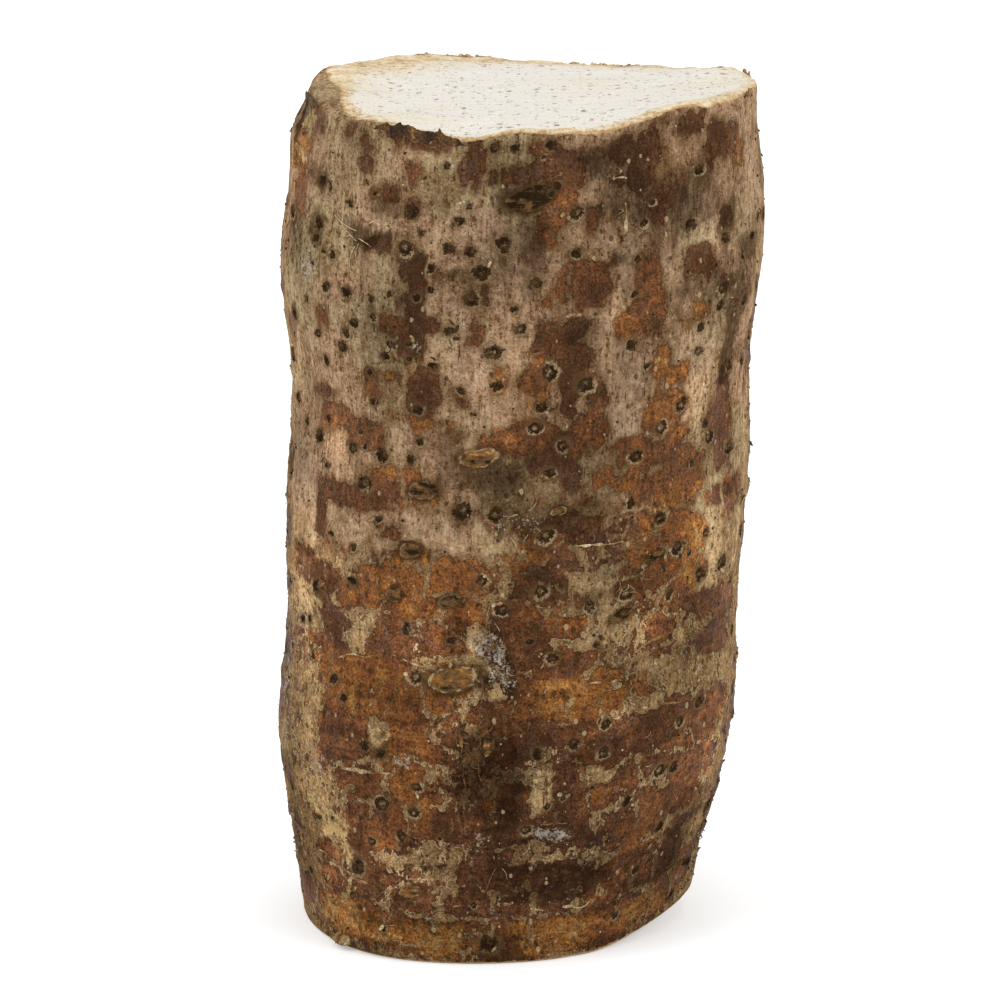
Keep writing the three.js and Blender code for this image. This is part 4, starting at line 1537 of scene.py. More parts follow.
@dataclass
class Corm:
    """The whole corm as one closed surface, skin and cut faces together."""

    form: Form
    markings: Markings
    finish: CormFinish
    columns: int = 384
    rows: int = 216
    bevel: tuple = (0.75, 0.3, -0.3)  # how far in from the rim the rows round it lie
    base_rings: tuple = (0.3, 0.55, 0.75, 0.88, 0.95)
    top_insets: tuple = (0.5, 1.1, 1.9, 3.0, 4.5, 6.5, 9.0, 12.0, 16.0, 21.0, 27.0, 34.0, 40.0)
    rim_wave: float = 0.45  # how much the upper rim rises and falls
    unseen: tuple = ("pit", "pit_depth", "scar_size", "rust")  # fields that only shape the mesh
    shift: Array = field(default_factory=lambda: np.zeros(3))
    skin: Array = field(default_factory=lambda: np.zeros((0, 0, 3)))
    outward: Array = field(default_factory=lambda: np.zeros((0, 0, 3)))

    def __post_init__(self) -> None:
        """Finds the shift that centres the form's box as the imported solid's is."""
        bearing, height = np.meshgrid(np.arange(0.0, 360.0, 2.0), np.linspace(0.0, self.form.length, 83))
        skin = self.form.place(bearing, self.form.girth(height), height)
        low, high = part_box(NODE)
        wanted = (np.array(low) + np.array(high)) / 2.0 / MM
        middle = (skin.min(axis=(0, 1)) + skin.max(axis=(0, 1))) / 2.0
        self.shift = np.array([wanted[0] - middle[0], wanted[1] - middle[1], 0.0])

    def at(self, bearing: Array, height: Array) -> tuple:
        """Places on the finished skin, between the rims of the two cuts.

        The skin's own grid is read bilinearly: each place is the average of its four
        neighbours, weighted by how near it lies to each.

        Args:
            bearing: Bearings in degrees.
            height: Heights along the corm.

        Returns:
            Points in millimetres and unit vectors that point outwards.
        """
        rows, columns = self.skin.shape[:2]
        across = (bearing % 360.0) / 360.0 * columns
        reach = self.form.length - 2.0 * self.form.edge
        along = np.clip((height - self.form.edge) / reach, 0.0, 0.9999) * (rows - 1)
        column, row = np.floor(across).astype(int) % columns, np.floor(along).astype(int)
        u, v = (across % 1.0)[..., None], (along % 1.0)[..., None]
        after = (column + 1) % columns
        read = [
            (1 - v) * ((1 - u) * grid[row, column] + u * grid[row, after])
            + v * ((1 - u) * grid[row + 1, column] + u * grid[row + 1, after])
            for grid in (self.skin, self.outward)
        ]
        return read[0], unit(read[1])

    def profile(self) -> tuple:
        """The rows of the surface, from the lower pole's first ring to the upper pole's last.

        Returns:
            Three arrays: each row's mean radius, its height, and how far in from the rim it
            lies on a cut face, which is negative on the skin.
        """
        form = self.form
        turn = np.linspace(0.0, np.pi / 2.0, len(self.bevel) + 2)[1:-1]
        foot, brow, edge = form.foot(), form.brow(), form.edge
        base_radius = foot * np.array(self.base_rings)
        side = np.linspace(edge, form.length - edge, self.rows)
        inset = np.array(self.top_insets) + edge
        radius = np.concatenate([
            base_radius, [foot - edge], foot - edge + edge * np.sin(turn), form.girth(side),
            brow - edge + edge * np.cos(turn), [brow - edge], brow - inset,
        ])
        height = np.concatenate([
            np.zeros(len(base_radius) + 1), edge - edge * np.cos(turn), side,
            form.length - edge + edge * np.sin(turn), np.full(1 + len(inset), form.length),
        ])
        cut = np.concatenate([
            foot - base_radius, [edge], self.bevel, -np.minimum(side, form.length - side),
            self.bevel[::-1], [edge], inset,
        ])
        return radius, height, cut

    def relief(self, bearing: Array, height: Array, spot: Array, fields: dict) -> Array:
        """How far the skin stands out from the smooth form, in millimetres.

        The sum of broad and small lumps, the step down into bare and peeled places, the
        hollows, a crater for each root scar (a rim raised by a bell round its edge and a dip
        inside) and a low ridge round the corm at each old leaf base.

        Args:
            bearing: Bearings of the points.
            height: Heights of the points.
            spot: The points themselves.
            fields: The mark fields at the points.

        Returns:
            The rise at each point.
        """
        lumps = 0.42 * cloud(spot, 16.0, 3, 2) + 0.16 * cloud(spot, 4.5, 5, 3)
        lumps += 0.05 * cloud(spot * (1.0, 1.0, 0.25), 1.6, 9, 2)
        lip = bell(bearing_gap(bearing, 42.0), 24.0) * (0.9 + 0.9 * cloud(spot, 2.6, 33, 3))
        lumps += lip * bell(height - self.form.length + 1.4, 1.2)
        worn = 0.2 * smoothstep(fields["bare"], -0.4, 0.5)
        worn += 0.25 * smoothstep(fields["cream"], -0.4, 0.5)
        hollow = fields["pit_depth"] * smoothstep(fields["pit"], -0.6, 0.8)
        reach, size = fields["scar"], fields["scar_size"]
        crater = 0.17 * size * bell(reach - 1.15, 0.4) - 0.30 * size * bell(reach, 0.75)
        crater += 0.12 * size * bell(reach, 0.35)
        bud = fields["bud"]
        crater += 0.28 * bell(bud - 1.0, 0.22) + 0.45 * bell(bud, 0.7) - 0.3 * bell(bud - 1.45, 0.3)
        return lumps - worn - hollow + crater + self.leaf_rings(height, spot * (1.0, 1.0, 0.0))

    def leaf_rings(self, height: Array, around: Array) -> Array:
        """Low ridges round the corm that wander and fade by noise, each with a dip under it.

        Args:
            height: Heights of the points.
            around: The points themselves, all brought down to one level.

        Returns:
            The rise at each point.
        """
        ridges = np.zeros(height.shape)
        for level, rise in LEAF_RINGS:
            above = height - (level + 0.9 * cloud(around, 18.0, int(level), 2))
            strength = smoothstep(cloud(around, 14.0, int(level) + 50, 2), -0.5, 0.4)
            ridges += rise * strength * (bell(above, 0.9) - 0.5 * bell(above + 1.8, 1.2))
        return ridges

    def bareness(self, pushed: tuple, height: Array, spot: Array, rust: Array) -> tuple:
        """How far the papery skin is gone, and the tone of the under-skin there.

        The sum of the nearest bare patch's depth, the wear and a grain that turns from upright
        to level towards the lower end. It is held down where the net of skin runs, except
        where that net is gone too.

        Args:
            pushed: The bearings and heights of the points, pushed about by noise.
            height: Heights of the points.
            spot: The points themselves.
            rust: The wear that the scars around have caused.

        Returns:
            Two arrays: the depth in millimetres, negative under papery skin, and the tone.
        """
        marked, tone = self.markings.depth(Layer.BARE, *pushed)
        upright = cloud(spot * (1.0, 1.0, 0.4), 3.2, 15, 3)
        level = cloud(spot * (0.35, 0.35, 1.0), 3.0, 16, 3)
        grain = upright + (level - upright) * smoothstep(-height, -110.0, -60.0)
        bare = np.clip(marked, -1.7, 2.4) + 0.9 * smoothstep(marked, -0.4, 0.6)
        bare = bare + self.markings.wear(*pushed) + 1.5 * grain + 2.4 * rust
        gone = 3.2 * cloud(spot, 11.0, 19, 2) + 4.0 * smoothstep(height, 84.0, 108.0)
        gone += 1.0 * smoothstep(marked, 0.5, 2.4)
        mesh, mesh_tone = self.markings.net(*pushed)
        tone = mesh_tone + (tone - mesh_tone) * smoothstep(marked, -2.0, 0.6)
        return np.minimum(bare, 1.6 * (mesh - 0.55) + np.maximum(gone, 0.0)), tone

    def fields(self, bearing: Array, height: Array, spot: Array) -> dict:
        """The mark fields at points of the skin.

        The points are first pushed about by noise, so that no mark keeps its oval outline.

        Args:
            bearing: Bearings of the points.
            height: Heights of the points.
            spot: The points themselves.

        Returns:
            An array for each field, by name.
        """
        push = 1.5 * cloud(spot * (1.0, 1.0, 0.6), 5.0, 11, 2) + 0.6 * cloud(spot, 2.2, 12, 2)
        lift = 1.2 * cloud(spot * (0.6, 0.6, 1.0), 5.0, 13, 2) + 0.5 * cloud(spot, 2.2, 14, 2)
        pushed = (bearing + push / ARC_PER_DEGREE, height + lift)
        soil, thick = self.markings.depth(Layer.SOIL, *pushed)
        cream, bright = self.markings.depth(Layer.CREAM, *pushed)
        frost, density = self.markings.depth(Layer.FROST, *pushed)
        pale, paleness = self.markings.depth(Layer.PALE, *pushed)
        pit, pit_depth = self.markings.depth(Layer.PIT, *pushed)
        scars = self.markings.scar_reach(bearing + 0.35 * push, height + 0.35 * lift)
        buds = self.markings.bud_reach(bearing + 0.4 * push, height + 0.4 * lift)
        bare, tone = self.bareness(pushed, height, spot, scars["rust"])
        return {
            "bare": bare, "tone": tone, "soil": soil, "thick": thick, "cream": cream, "bright": bright,
            "frost": density * smoothstep(frost, -1.2, 0.8),
            "pale": paleness * smoothstep(pale, -1.5, 1.5),
            "pit": pit, "pit_depth": pit_depth, **scars, **buds,
            "broad": cloud(spot, 14.0, 17, 2), "blotch": cloud(spot * (1.0, 1.0, 0.6), 4.5, 18, 3),
            "low": smoothstep(-height, -95.0, -60.0), "grime_and_painted_light": self.markings.grime_and_painted_light(*pushed),
        }

    def rim_roll(self, bearing: Array) -> Array:
        """How far the rind rolls over the rim on to the side, or the skin inwards if negative.

        Args:
            bearing: Bearings round the rim.

        Returns:
            The roll in millimetres.
        """
        right = 0.7 * bell(bearing_gap(bearing, 44.0), 22.0)
        front = 0.9 * bell(bearing_gap(bearing, -28.0), 16.0)
        return right - front + 0.2 - 6.5 * bell(bearing_gap(bearing, -82.0), 26.0)

    def rim_lift(self, bearing: Array) -> Array:
        """How much higher the upper rim stands than the cut's own plane, bell by bell."""
        return sum(rise * bell(bearing_gap(bearing, at), wide) for at, wide, rise in RIM_LIFTS)

    def rind_width(self, bearing: Array) -> Array:
        """How wide the tan rind shows on a cut face, broad at the left and the back left.

        Args:
            bearing: Bearings round the rim.

        Returns:
            The width in millimetres.
        """
        left = 8.5 * bell(bearing_gap(bearing, -130.0), 36.0)
        back = 4.5 * bell(bearing_gap(bearing, 180.0), 44.0)
        right = 3.2 * bell(bearing_gap(bearing, 54.0), 24.0)
        front = 1.4 * bell(bearing_gap(bearing, -50.0), 14.0)
        return 1.5 + (left + back) + (right + front)

    def _smooth(
        self, bearing: Array, radius: Array, height: Array, inward: Array
    ) -> Array:
        """The form's own surface, tucked in at the left brow and with its upper rim lifted.

        Args:
            bearing: Bearings of the points.
            radius: Their mean radii.
            height: Their heights.
            inward: How far in from the rim they lie on a cut face.

        Returns:
            The points.
        """
        near_top = smoothstep(height, self.form.length - 9.0, self.form.length)
        tuck = 2.6 * bell(bearing_gap(bearing, -86.0), 28.0) * near_top
        radius = radius - tuck * smoothstep(radius, 15.0, self.form.brow())
        smooth = self.form.place(bearing, radius, height) + self.shift
        smooth[..., 2] += self.rim_lift(bearing) * near_top * bell(np.maximum(inward, 0.0), 11.0)
        return smooth

    def _roughened(
        self, bearing: Array, height: Array, inward: Array, smooth: Array, fields: dict
    ) -> Array:
        """The smooth surface with its relief, its knife marks and its wavering upper rim.

        Args:
            bearing: Bearings of the points.
            height: Their heights.
            inward: How far in from the rim they lie on a cut face.
            smooth: The points.
            fields: The mark fields at the points.

        Returns:
            The points moved, with none of them under the ground.
        """
        length = self.form.length
        rise = smoothstep(-inward, -0.4, 1.2) * self.relief(bearing, height, smooth, fields)
        on_top = (height > length / 2.0) & (inward > 0.0)
        knife = 0.10 * cloud(smooth * (0.25, 1.0, 0.0), 2.5, 21, 3) + 0.12 * cloud(smooth, 9.0, 22, 2)
        rise = rise + np.where(on_top, knife, 0.0)
        points = smooth + grid_normals(smooth) * rise[..., None]
        flat = smooth * (1.0, 1.0, 0.0)
        wave = self.rim_wave * cloud(flat, 7.0, 31, 3)
        wave += 0.9 * bell(bearing_gap(bearing, 45.0), 22.0) * cloud(flat, 5.0, 34, 3)
        wave = wave * smoothstep(height, length - 3.0, length)
        points[..., 2] += wave * bell(np.maximum(inward, 0.0), 2.5)
        points[..., 2] = np.maximum(points[..., 2], 0.0)
        return points

    def build(self) -> bpy.types.Object:
        """Makes the mesh and dresses it.

        Returns:
            The piece.
        """
        radius, level, cut = self.profile()
        around = np.arange(self.columns) * 360.0 / self.columns
        bearing, radii = np.meshgrid(around, radius)
        height = np.broadcast_to(level[:, None], bearing.shape)
        inward = np.broadcast_to(cut[:, None], bearing.shape)
        smooth = self._smooth(bearing, radii, height, inward)
        fields = self.fields(bearing, height, smooth)
        points = self._roughened(bearing, height, inward, smooth, fields)
        foot_rows = len(self.base_rings) + 1 + len(self.bevel)
        self.skin = points[foot_rows:foot_rows + self.rows]
        self.outward = grid_normals(self.skin)
        at_rim = smoothstep(height, self.form.length - 6.0, self.form.length - 1.0)
        fields["cut"] = inward + self.rim_roll(bearing) * at_rim
        fields["rind"] = self.rind_width(bearing)
        fields["aged"] = (height < self.form.length / 2.0).astype(float)
        return self._closed(points, {key: fields[key] for key in fields if key not in self.unseen})

    def _closed(self, points: Array, fields: dict) -> bpy.types.Object:
        """Closes the grid with a pole at each end and makes the object.

        Args:
            points: The grid of points.
            fields: Values for each grid point.

        Returns:
            The dressed piece.
        """
        rows, columns = points.shape[:2]
        flat = points.reshape(-1, 3)
        poles = np.stack([points[0].mean(axis=0), points[-1].mean(axis=0)])
        first, last = np.arange(columns), (rows - 1) * columns + np.arange(columns)
        faces = [
            ring_faces(rows, columns),
            fan_faces(len(flat), first, upward=False),
            fan_faces(len(flat) + 1, last, upward=True),
        ]
        values = {
            key: np.concatenate([grid.ravel(), [grid[0].mean(), grid[-1].mean()]])
            for key, grid in fields.items()
        }
        piece = mesh_object("malanga_corm", np.vstack([flat, poles]), faces, values)
        piece.data.materials.append(self.finish.build())
        return piece


@dataclass(frozen=True)
class ScrapFinish:
    """Dry plant scraps and grains of soil, whose colour runs along one scale, dark to pale."""

    name: str = "malanga_scraps"
    scale: tuple = (
        (0.0, (0.016, 0.010, 0.006)),
        (0.25, (0.055, 0.028, 0.012)),
        (0.5, (0.19, 0.090, 0.026)),
        (0.75, (0.33, 0.225, 0.110)),
        (1.0, (0.62, 0.50, 0.31)),
    )

    def build(self) -> bpy.types.Material:
        """Builds the material.

        Returns:
            The finished material.
        """
        g = Graph(self.name)
        grain = g.noise(g.place(), 0.5, 3.0, 0.6)
        color = g.ramp(g.math("MULTIPLY_ADD", grain, 0.6, g.value("shade")), self.scale)
        color = g.shade(color, g.math("MULTIPLY_ADD", grain, 2.0, 1.0))
        relief = g.bump(g.math("MULTIPLY", grain, 0.15))
        return g.finish(Base_Color=color, Roughness=0.6, Specular_IOR_Level=0.12, Normal=relief)


@dataclass
class Scraps:
    """A piece made of many small closed shapes that lie on the skin."""

    corm: Corm
    material: bpy.types.Material
    name: str = "scraps"
    seed: int = SEED

    def dress(self, rings: Array, shade: Array) -> bpy.types.Object:
        """Makes the piece from rings of points.

        Args:
            rings: An array of shapes, stations, points round a ring, and xyz.
            shade: A place on the colour scale for each shape and station.

        Returns:
            The piece.
        """
        points, faces = loft(self._turned_outward(rings))
        around = rings.shape[2]
        ends = np.stack([shade[:, 0], shade[:, -1]], axis=1)
        values = np.concatenate([np.repeat(shade, around, axis=1), ends], axis=1)
        piece = mesh_object(self.name, points, faces, {"shade": values})
        piece.data.materials.append(self.material)
        return piece

    def _turned_outward(self, rings: Array) -> Array:
        """Reverses the rings that run clockwise about their shape's own direction.

        A ring's turn is the sum of the cross products of neighbouring points about its middle,
        taken along the step from one middle to the next.

        Args:
            rings: An array of shapes, stations, points round a ring, and xyz.

        Returns:
            The same array with every ring running anticlockwise.
        """
        middle = rings.mean(axis=2)
        spokes = rings - middle[:, :, None]
        area = np.cross(spokes, np.roll(spokes, -1, axis=2)).sum(axis=2)
        turn = (area * np.gradient(middle, axis=1)).sum(axis=(1, 2))
        return np.where((turn < 0.0)[:, None, None, None], rings[:, :, ::-1], rings)

    def ovals(self, middle: Array, side: Array, up: Array, around: int) -> Array:
        """Elliptic rings: middle + side cos(a) + up sin(a) for equally spaced angles a.

        Args:
            middle: Points along each shape.
            side: The half width at each point, as a vector.
            up: The half height at each point, as a vector.
            around: How many points a ring has.

        Returns:
            An array of shapes, stations, points round a ring, and xyz.
        """
        angle = np.arange(around) * 2.0 * np.pi / around
        cosine, sine = np.cos(angle)[:, None], np.sin(angle)[:, None]
        return middle[..., None, :] + side[..., None, :] * cosine + up[..., None, :] * sine

    def walk(
        self,
        bearing: Array,
        height: Array,
        length: Array,
        heading: Array,
        lift: Array,
    ) -> tuple:
        """Paths that set out from a place and go over the skin in even steps.

        Args:
            bearing: The bearing where each path sets out.
            height: The height where it sets out.
            length: How long it is, in millimetres.
            heading: Its direction at each station, in radians from the girth upwards.
            lift: How far it stands off the skin at each station.

        Returns:
            The points of each path, and unit vectors along it, across it and out of the skin.
        """
        step = (length / heading.shape[1])[:, None]
        bearings = bearing[:, None] + np.cumsum(step * np.cos(heading), axis=1) / ARC_PER_DEGREE
        heights = height[:, None] + np.cumsum(step * np.sin(heading), axis=1)
        point, out = self.corm.at(bearings, np.clip(heights, *WALKED_HEIGHTS))
        middle = point + out * lift[..., None]
        along = unit(np.gradient(middle, axis=1))
        return middle, along, unit(np.cross(out, along)), out


@dataclass
class LeafRidges(Scraps):
    """Thin raised lines of skin that old leaf bases left, most of them nearly level."""

    name: str = "leaf_scar_ridges"
    stations: int = 64
    around: int = 6

    def build(self) -> bpy.types.Object:
        """Lays each ridge along the skin.

        The middle of a ridge goes evenly from one end to the other and wanders by noise. Its
        half width is 1.35 w (0.55 + 1.1 noise) (1 - |2t - 1|^4), so that it breaks up and
        tapers at both ends, and its half height is the same with the rise in place of 1.35 w.

        Returns:
            The piece.
        """
        rows = np.array(RIDGES)
        t = np.linspace(0.0, 1.0, self.stations)
        start, end = rows[:, 0:2, None], rows[:, 2:4, None]
        path = start + (end - start) * t
        which = np.broadcast_to(np.arange(len(rows))[:, None] * 50.0, path[:, 0].shape)
        spot = np.stack([path[:, 0] * ARC_PER_DEGREE, path[:, 1], which], axis=-1)
        level = path[:, 1] + 1.1 * cloud(spot, 6.0, 41, 4)
        bearing = path[:, 0] + 0.7 * cloud(spot, 4.0, 42, 3)
        point, out = self.corm.at(bearing, level)
        along = unit(np.gradient(point, axis=1))
        taper = (1.0 - np.abs(2.0 * t - 1.0) ** 4) * (0.55 + 1.1 * cloud(spot, 3.0, 43, 3))
        taper = np.clip(taper, 0.02, 1.4)[..., None]
        width, rise = 1.35 * rows[:, 4, None, None], rows[:, 5, None, None]
        side = np.cross(out, along) * width * taper
        point = point - out * (1.0 - taper) * 0.2
        rings = self.ovals(point, side, out * rise * taper, self.around)
        shade = rows[:, 6, None] - 0.1 + 0.22 * cloud(spot, 2.0, 44, 2)
        return self.dress(rings, shade)


@dataclass
class TornSkin(Scraps):
    """Ragged skin that stands off where the knife or the ground has torn it."""

    name: str = "torn_skin"
    stations: int = 160
    levels: int = 8

    def build(self) -> bpy.types.Object:
        """Makes every stretch as one closed sheet.

        Returns:
            The piece.
        """
        made = [self._stretch(*row) for row in TORN_STRETCHES]
        return self.dress(np.array([rings for rings, _ in made]), np.array([tones for _, tones in made]))

    def _stretch(
        self, from_b: float, to_b: float, level: float, way: int, tall: float, lean: float, shade: float
    ) -> tuple:
        """Raises one stretch from the skin, upwards or downwards.

        At a share s up a stretch the sheet stands s times its height off its root and leans
        out by lean s^2. Its height follows noise with a sharp crest added at each peak, and
        its half thickness falls from 0.24 at the root to 0.05 at the lip.

        Args:
            from_b: The bearing where it starts.
            to_b: The bearing where it ends.
            level: The height of its root.
            way: 1 where it stands up, -1 where it hangs down.
            tall: How tall it is.
            lean: How far its lip leans out.
            shade: Its place on the colour scale.

        Returns:
            A ring of points for each station, and the place of each on the colour scale.
        """
        t = np.linspace(0.0, 1.0, self.stations)
        bearing = from_b + (to_b - from_b) * t
        spot = np.stack([bearing * ARC_PER_DEGREE, bearing * 0.0, bearing * 0.0 + from_b], axis=-1)
        ends = 1.0 - np.abs(2.0 * t - 1.0) ** 6
        height = tall * ends * np.clip(0.5 + 0.7 * cloud(spot, 3.0, 45, 5), 0.04, 2.0)
        height = height + 0.35 * ends * np.maximum(cloud(spot, 0.9, 49, 2), 0.0)
        for peak, rise, width in TORN_PEAKS:
            height = height + ends * rise * np.exp(-np.abs(bearing_gap(bearing, peak)) / width)
        below = 1.6 + 1.4 * cloud(spot, 2.2, 48, 4)
        root, out = self.corm.at(bearing, level - way * below * ends)
        out = unit(out * (1.0, 1.0, 0.0))
        s = np.linspace(0.0, 1.0, self.levels)[:, None, None]
        tilt = lean * (0.6 + 0.8 * cloud(spot, 6.0, 46, 2))[:, None]
        up = np.array([0.0, 0.0, way]) * (height + below * ends)[:, None]
        sheet = root + out * (0.5 * np.minimum(s * 2.5, 1.0) - 0.45) + up * s + out * tilt * s**2
        thick = out * (0.24 - 0.19 * s)
        loop = np.concatenate([sheet + thick, (sheet - thick)[::-1]], axis=0)
        return np.transpose(loop, (1, 0, 2)), shade + 0.22 * cloud(spot, 1.6, 47, 3)


@dataclass
class SkinFlakes(Scraps):
    """Small chips of dry skin, each fast at one end and lifting at the other."""

    name: str = "skin_flakes"
    count: int = 520
    stations: int = 5
    around: int = 8
    low_below: float = 100.0  # under this height every scar picked has its chip
    high_share: float = 0.35  # how many of the others have one
    tones: tuple = (0.1, 0.35, 0.6, 0.78)
    odds: tuple = (0.32, 0.28, 0.28, 0.12)

    def build(self) -> bpy.types.Object:
        """Scatters the chips, all of them beside root scars.

        A chip runs its length over the skin in a chosen direction. Its half width is
        w sin(pi (0.15 + 0.75 s))^0.7 at a share s, and it lifts off the skin by lift s^2.

        Returns:
            The piece.
        """
        rng = np.random.default_rng(self.seed + 3)
        scars = self.corm.markings.scars
        scars = scars[rng.integers(0, len(scars), self.count)]
        keep = (scars[:, 1] < self.low_below) | (rng.random(self.count) < self.high_share)
        scars = scars[keep]
        count = len(scars)
        angle = rng.uniform(0.0, 2.0 * np.pi, count)
        away = scars[:, 2] * rng.uniform(0.7, 1.8, count)
        bearing = scars[:, 0] + away * np.cos(angle) / ARC_PER_DEGREE
        height = scars[:, 1] + away * np.sin(angle)
        length = rng.uniform(0.6, 2.0, count)
        turn = angle + np.pi / 2.0 + rng.normal(0.0, 0.6, count)
        s = np.linspace(0.0, 1.0, self.stations)
        heading = turn[:, None] + rng.uniform(-0.9, 0.9, count)[:, None] * s
        lift = rng.uniform(0.15, 0.6, count)[:, None] * s**2 + 0.02
        middle, _, across, out = self.walk(bearing, height, length, heading, lift)
        wide = rng.uniform(0.18, 0.5, count)[:, None] * np.sin(np.pi * (0.15 + 0.75 * s)) ** 0.7
        rings = self.ovals(middle, across * wide[..., None], out * 0.05, self.around)
        shade = rng.choice(self.tones, count, p=self.odds)
        return self.dress(rings, shade[:, None] + 0.1 * s)


@dataclass
class RootHairs(Scraps):
    """Fine dry hairs lying on the skin, in tufts and strays."""

    name: str = "root_hairs"
    stations: int = 8
    around: int = 5

    def build(self) -> bpy.types.Object:
        """Lays the hairs.

        A hair sets out in its own direction and turns evenly as it goes. Its middle stands off
        the skin by lift sin(pi s), and its radius shrinks towards the tip.

        Returns:
            The piece.
        """
        rng = np.random.default_rng(self.seed + 4)
        tufts = np.array(HAIR_TUFTS)
        rows = np.repeat(tufts, tufts[:, 4].astype(int), axis=0)
        count = len(rows)
        bearing = rows[:, 0] + rows[:, 2] * rng.uniform(-1.0, 1.0, count)
        height = rows[:, 1] + rows[:, 3] * rng.uniform(-1.0, 1.0, count)
        length = rows[:, 5] * rng.uniform(0.5, 1.3, count)
        turn = rng.uniform(0.0, 2.0 * np.pi, count)
        s = np.linspace(0.0, 1.0, self.stations)
        heading = turn[:, None] + rng.normal(0.0, 1.1, count)[:, None] * s
        lift = rng.uniform(0.05, 0.45, count)[:, None] * np.sin(np.pi * s) + 0.05
        middle, along, across, _ = self.walk(bearing, height, length, heading, lift)
        radius = (rows[:, 6, None] * (1.0 - 0.6 * s))[..., None]
        rings = self.ovals(middle, across * radius, np.cross(along, across) * radius, self.around)
        shade = np.clip(rows[:, 7] + rng.normal(0.0, 0.12, count), 0.0, 1.0)
        return self.dress(rings, np.repeat(shade[:, None], self.stations, axis=1))


@dataclass
class SoilCrumbs(Scraps):
    """Grains of soil and grit stuck to the skin."""

    name: str = "soil_crumbs"
    count: int = 2400
    around: int = 5
    lowest: float = 3.0
    reach: float = 158.0  # how far up from the lowest they go
    levels: tuple = (-0.5, 0.25, 0.85)  # how far out each ring lies, in a grain's own radii
    girths: tuple = (0.75, 1.0, 0.7)  # how wide it is, in the same radii
    tones: tuple = (0.05, 0.25, 0.55, 0.85)
    odds: tuple = (0.44, 0.3, 0.18, 0.08)

    def build(self) -> bpy.types.Object:
        """Sprinkles the grains, thicker towards the lower end.

        Each grain is a squat ball of three rings, and its rings are pushed out of round by
        random amounts.

        Returns:
            The piece.
        """
        rng = np.random.default_rng(self.seed + 5)
        bearing = rng.uniform(-180.0, 180.0, self.count)
        height = self.lowest + self.reach * rng.random(self.count) ** 1.5
        point, out = self.corm.at(bearing, height)
        radius = (0.09 + 0.24 * rng.random(self.count) ** 2.5)[:, None, None]
        side = unit(np.cross(out, np.array([0.0, 0.0, 1.0])))
        up = np.cross(out, side)
        middle = point[:, None] + out[:, None] * (np.array(self.levels)[:, None] * radius)
        wide = radius * np.array(self.girths)[:, None]
        rings = self.ovals(middle, side[:, None] * wide, up[:, None] * wide, self.around)
        swell = rng.uniform(0.75, 1.25, rings.shape[:3])[..., None]
        rings = middle[:, :, None] + (rings - middle[:, :, None]) * swell
        shade = rng.choice(self.tones, self.count, p=self.odds)
        return self.dress(rings, np.repeat(shade[:, None], len(self.levels), axis=1))


# --- The studio ---


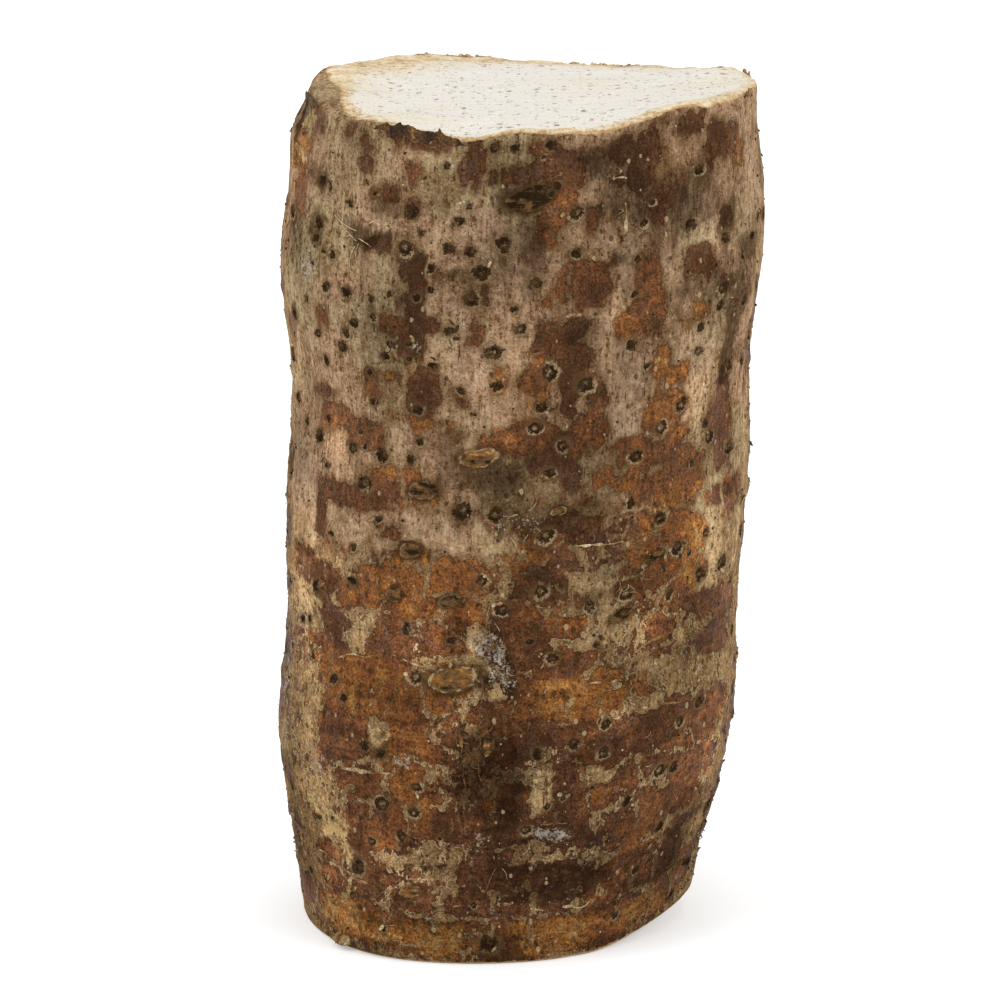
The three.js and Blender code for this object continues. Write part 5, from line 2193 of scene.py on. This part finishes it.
@dataclass(frozen=True)
class Studio:
    """A pale floor, a soft light from all round and the camera."""

    distance: float = 1.1
    elevation: float = 13.0
    lens: float = 202.0
    sensor: float = 36.0
    aim_x: float = -2.35  # millimetres, from the form's own axis
    aim_z: float = 83.4
    clip: tuple = (0.05, 20.0)  # metres
    floor_color: tuple = (0.8, 0.8, 0.8)
    floor_radius: float = 4000.0
    floor_corners: int = 64
    glow: tuple = (0.34, 0.55)  # how much the seen floor is lifted, near the corm and far from it
    fade: tuple = (250.0, 1200.0)  # where the first ends and the second begins, in millimetres
    sky: float = 0.65
    lit_point: tuple = (0.0, 0.0, 0.08)  # metres, where the lamps point
    lamps: tuple = (
        # name, place, size, watts
        ("key", (-1.05, -0.75, 1.05), 0.9, 9.6),
        ("fill", (1.1, -0.65, 0.8), 0.9, 7.6),
        ("top", (0.1, 0.15, 1.4), 1.0, 6.0),
    )

    def camera(self, shift: Array) -> bpy.types.Object:
        """Adds the camera, looking along +Y and down by its elevation.

        Args:
            shift: How far the form was moved to centre its box.

        Returns:
            The camera.
        """
        data = bpy.data.cameras.new("camera")
        data.lens, data.sensor_width = self.lens, self.sensor
        data.clip_start, data.clip_end = self.clip
        made = bpy.data.objects.new("camera", data)
        tilt = np.radians(self.elevation)
        aim = np.array([(self.aim_x + shift[0]) * MM, shift[1] * MM, self.aim_z * MM])
        made.location = aim + self.distance * np.array([0.0, -np.cos(tilt), np.sin(tilt)])
        made.rotation_euler = (np.pi / 2.0 - tilt, 0.0, 0.0)
        bpy.context.scene.collection.objects.link(made)
        bpy.context.scene.camera = made
        return made

    def light(self) -> None:
        """Adds the lamps and the surrounding light, which the camera sees as plain white."""
        for name, place, size, watts in self.lamps:
            lamp = bpy.data.lights.new(name, "AREA")
            lamp.energy, lamp.size = watts, size
            holder = bpy.data.objects.new(name, lamp)
            holder.location = place
            x, y, z = np.array(self.lit_point) - np.array(place)
            turn = np.arctan2(y, x) - np.pi / 2
            holder.rotation_euler = (np.arctan2(np.hypot(x, y), -z), 0.0, turn)
            bpy.context.scene.collection.objects.link(holder)
        world = bpy.data.worlds.new("surround")
        world.use_nodes = True
        tree = world.node_tree
        seen = self._seen_directly(tree)
        strength = tree.nodes.new("ShaderNodeMix")
        tree.links.new(seen, strength.inputs[0])
        strength.inputs[2].default_value, strength.inputs[3].default_value = self.sky, 1.0
        tree.nodes["Background"].inputs["Color"].default_value = (1.0, 1.0, 1.0, 1.0)
        tree.links.new(strength.outputs[0], tree.nodes["Background"].inputs["Strength"])
        bpy.context.scene.world = world

    def _seen_directly(self, tree: bpy.types.NodeTree) -> Socket:
        """1 for rays from the camera, off gloss or through glass, and 0 for the rest.

        Args:
            tree: The tree to add the nodes to.

        Returns:
            The socket that carries it.
        """
        path = tree.nodes.new("ShaderNodeLightPath")
        total = path.outputs["Is Camera Ray"]
        for ray in ("Is Glossy Ray", "Is Transmission Ray"):
            joined = tree.nodes.new("ShaderNodeMath")
            joined.operation = "MAXIMUM"
            tree.links.new(total, joined.inputs[0])
            tree.links.new(path.outputs[ray], joined.inputs[1])
            total = joined.outputs[0]
        return total

    def floor(self) -> bpy.types.Object:
        """Adds the floor: pale to the light, and lifted to white where it is seen, so that
        only the corm's soft shadow shows on it.

        Returns:
            The floor.
        """
        angle = np.linspace(0.0, 2.0 * np.pi, self.floor_corners, endpoint=False)
        rim = np.stack([np.cos(angle), np.sin(angle), np.zeros(len(angle))], axis=-1) * self.floor_radius
        made = mesh_object("studio_floor", rim, [[list(range(self.floor_corners))]])
        g = Graph("studio_floor_paint")
        seen = self._seen_directly(g.tree)
        paint = g.node("BsdfDiffuse", {"Color": (*self.floor_color, 1.0)})
        reach = g.node("VectorMath", {0: g.place()}, operation="LENGTH").outputs["Value"]
        strength = g.math("MULTIPLY", seen, g.blend(g.step(reach, *self.fade), *self.glow))
        glow = g.node("Emission", {"Color": (1.0, 1.0, 1.0, 1.0), "Strength": strength})
        both = g.node("AddShader", {0: paint.outputs[0], 1: glow.outputs[0]})
        g.node("OutputMaterial", {"Surface": both.outputs[0]})
        made.data.materials.append(g.material)
        return made


# --- Putting it together ---


def settle(piece: bpy.types.Object) -> None:
    """Lets a piece ride on the corm's body, and logs how many faces it has.

    Args:
        piece: The piece.
    """
    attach(piece, BODY)
    log.info("%s: %d faces", piece.name, len(piece.data.polygons))


def main() -> None:
    logging.basicConfig(level=logging.INFO, format="%(name)s: %(message)s")
    bpy.context.scene.view_settings.view_transform = "Standard"
    studio = Studio()
    corm = Corm(Form(), Markings(), CormFinish())
    studio.camera(corm.shift)
    studio.light()
    studio.floor()

    body = corm.build()
    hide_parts(NODE)
    settle(body)
    dry = ScrapFinish().build()
    for part in (LeafRidges, TornSkin, SkinFlakes, RootHairs, SoilCrumbs):
        settle(part(corm, dry).build())


if __name__ == "__main__":
    main()
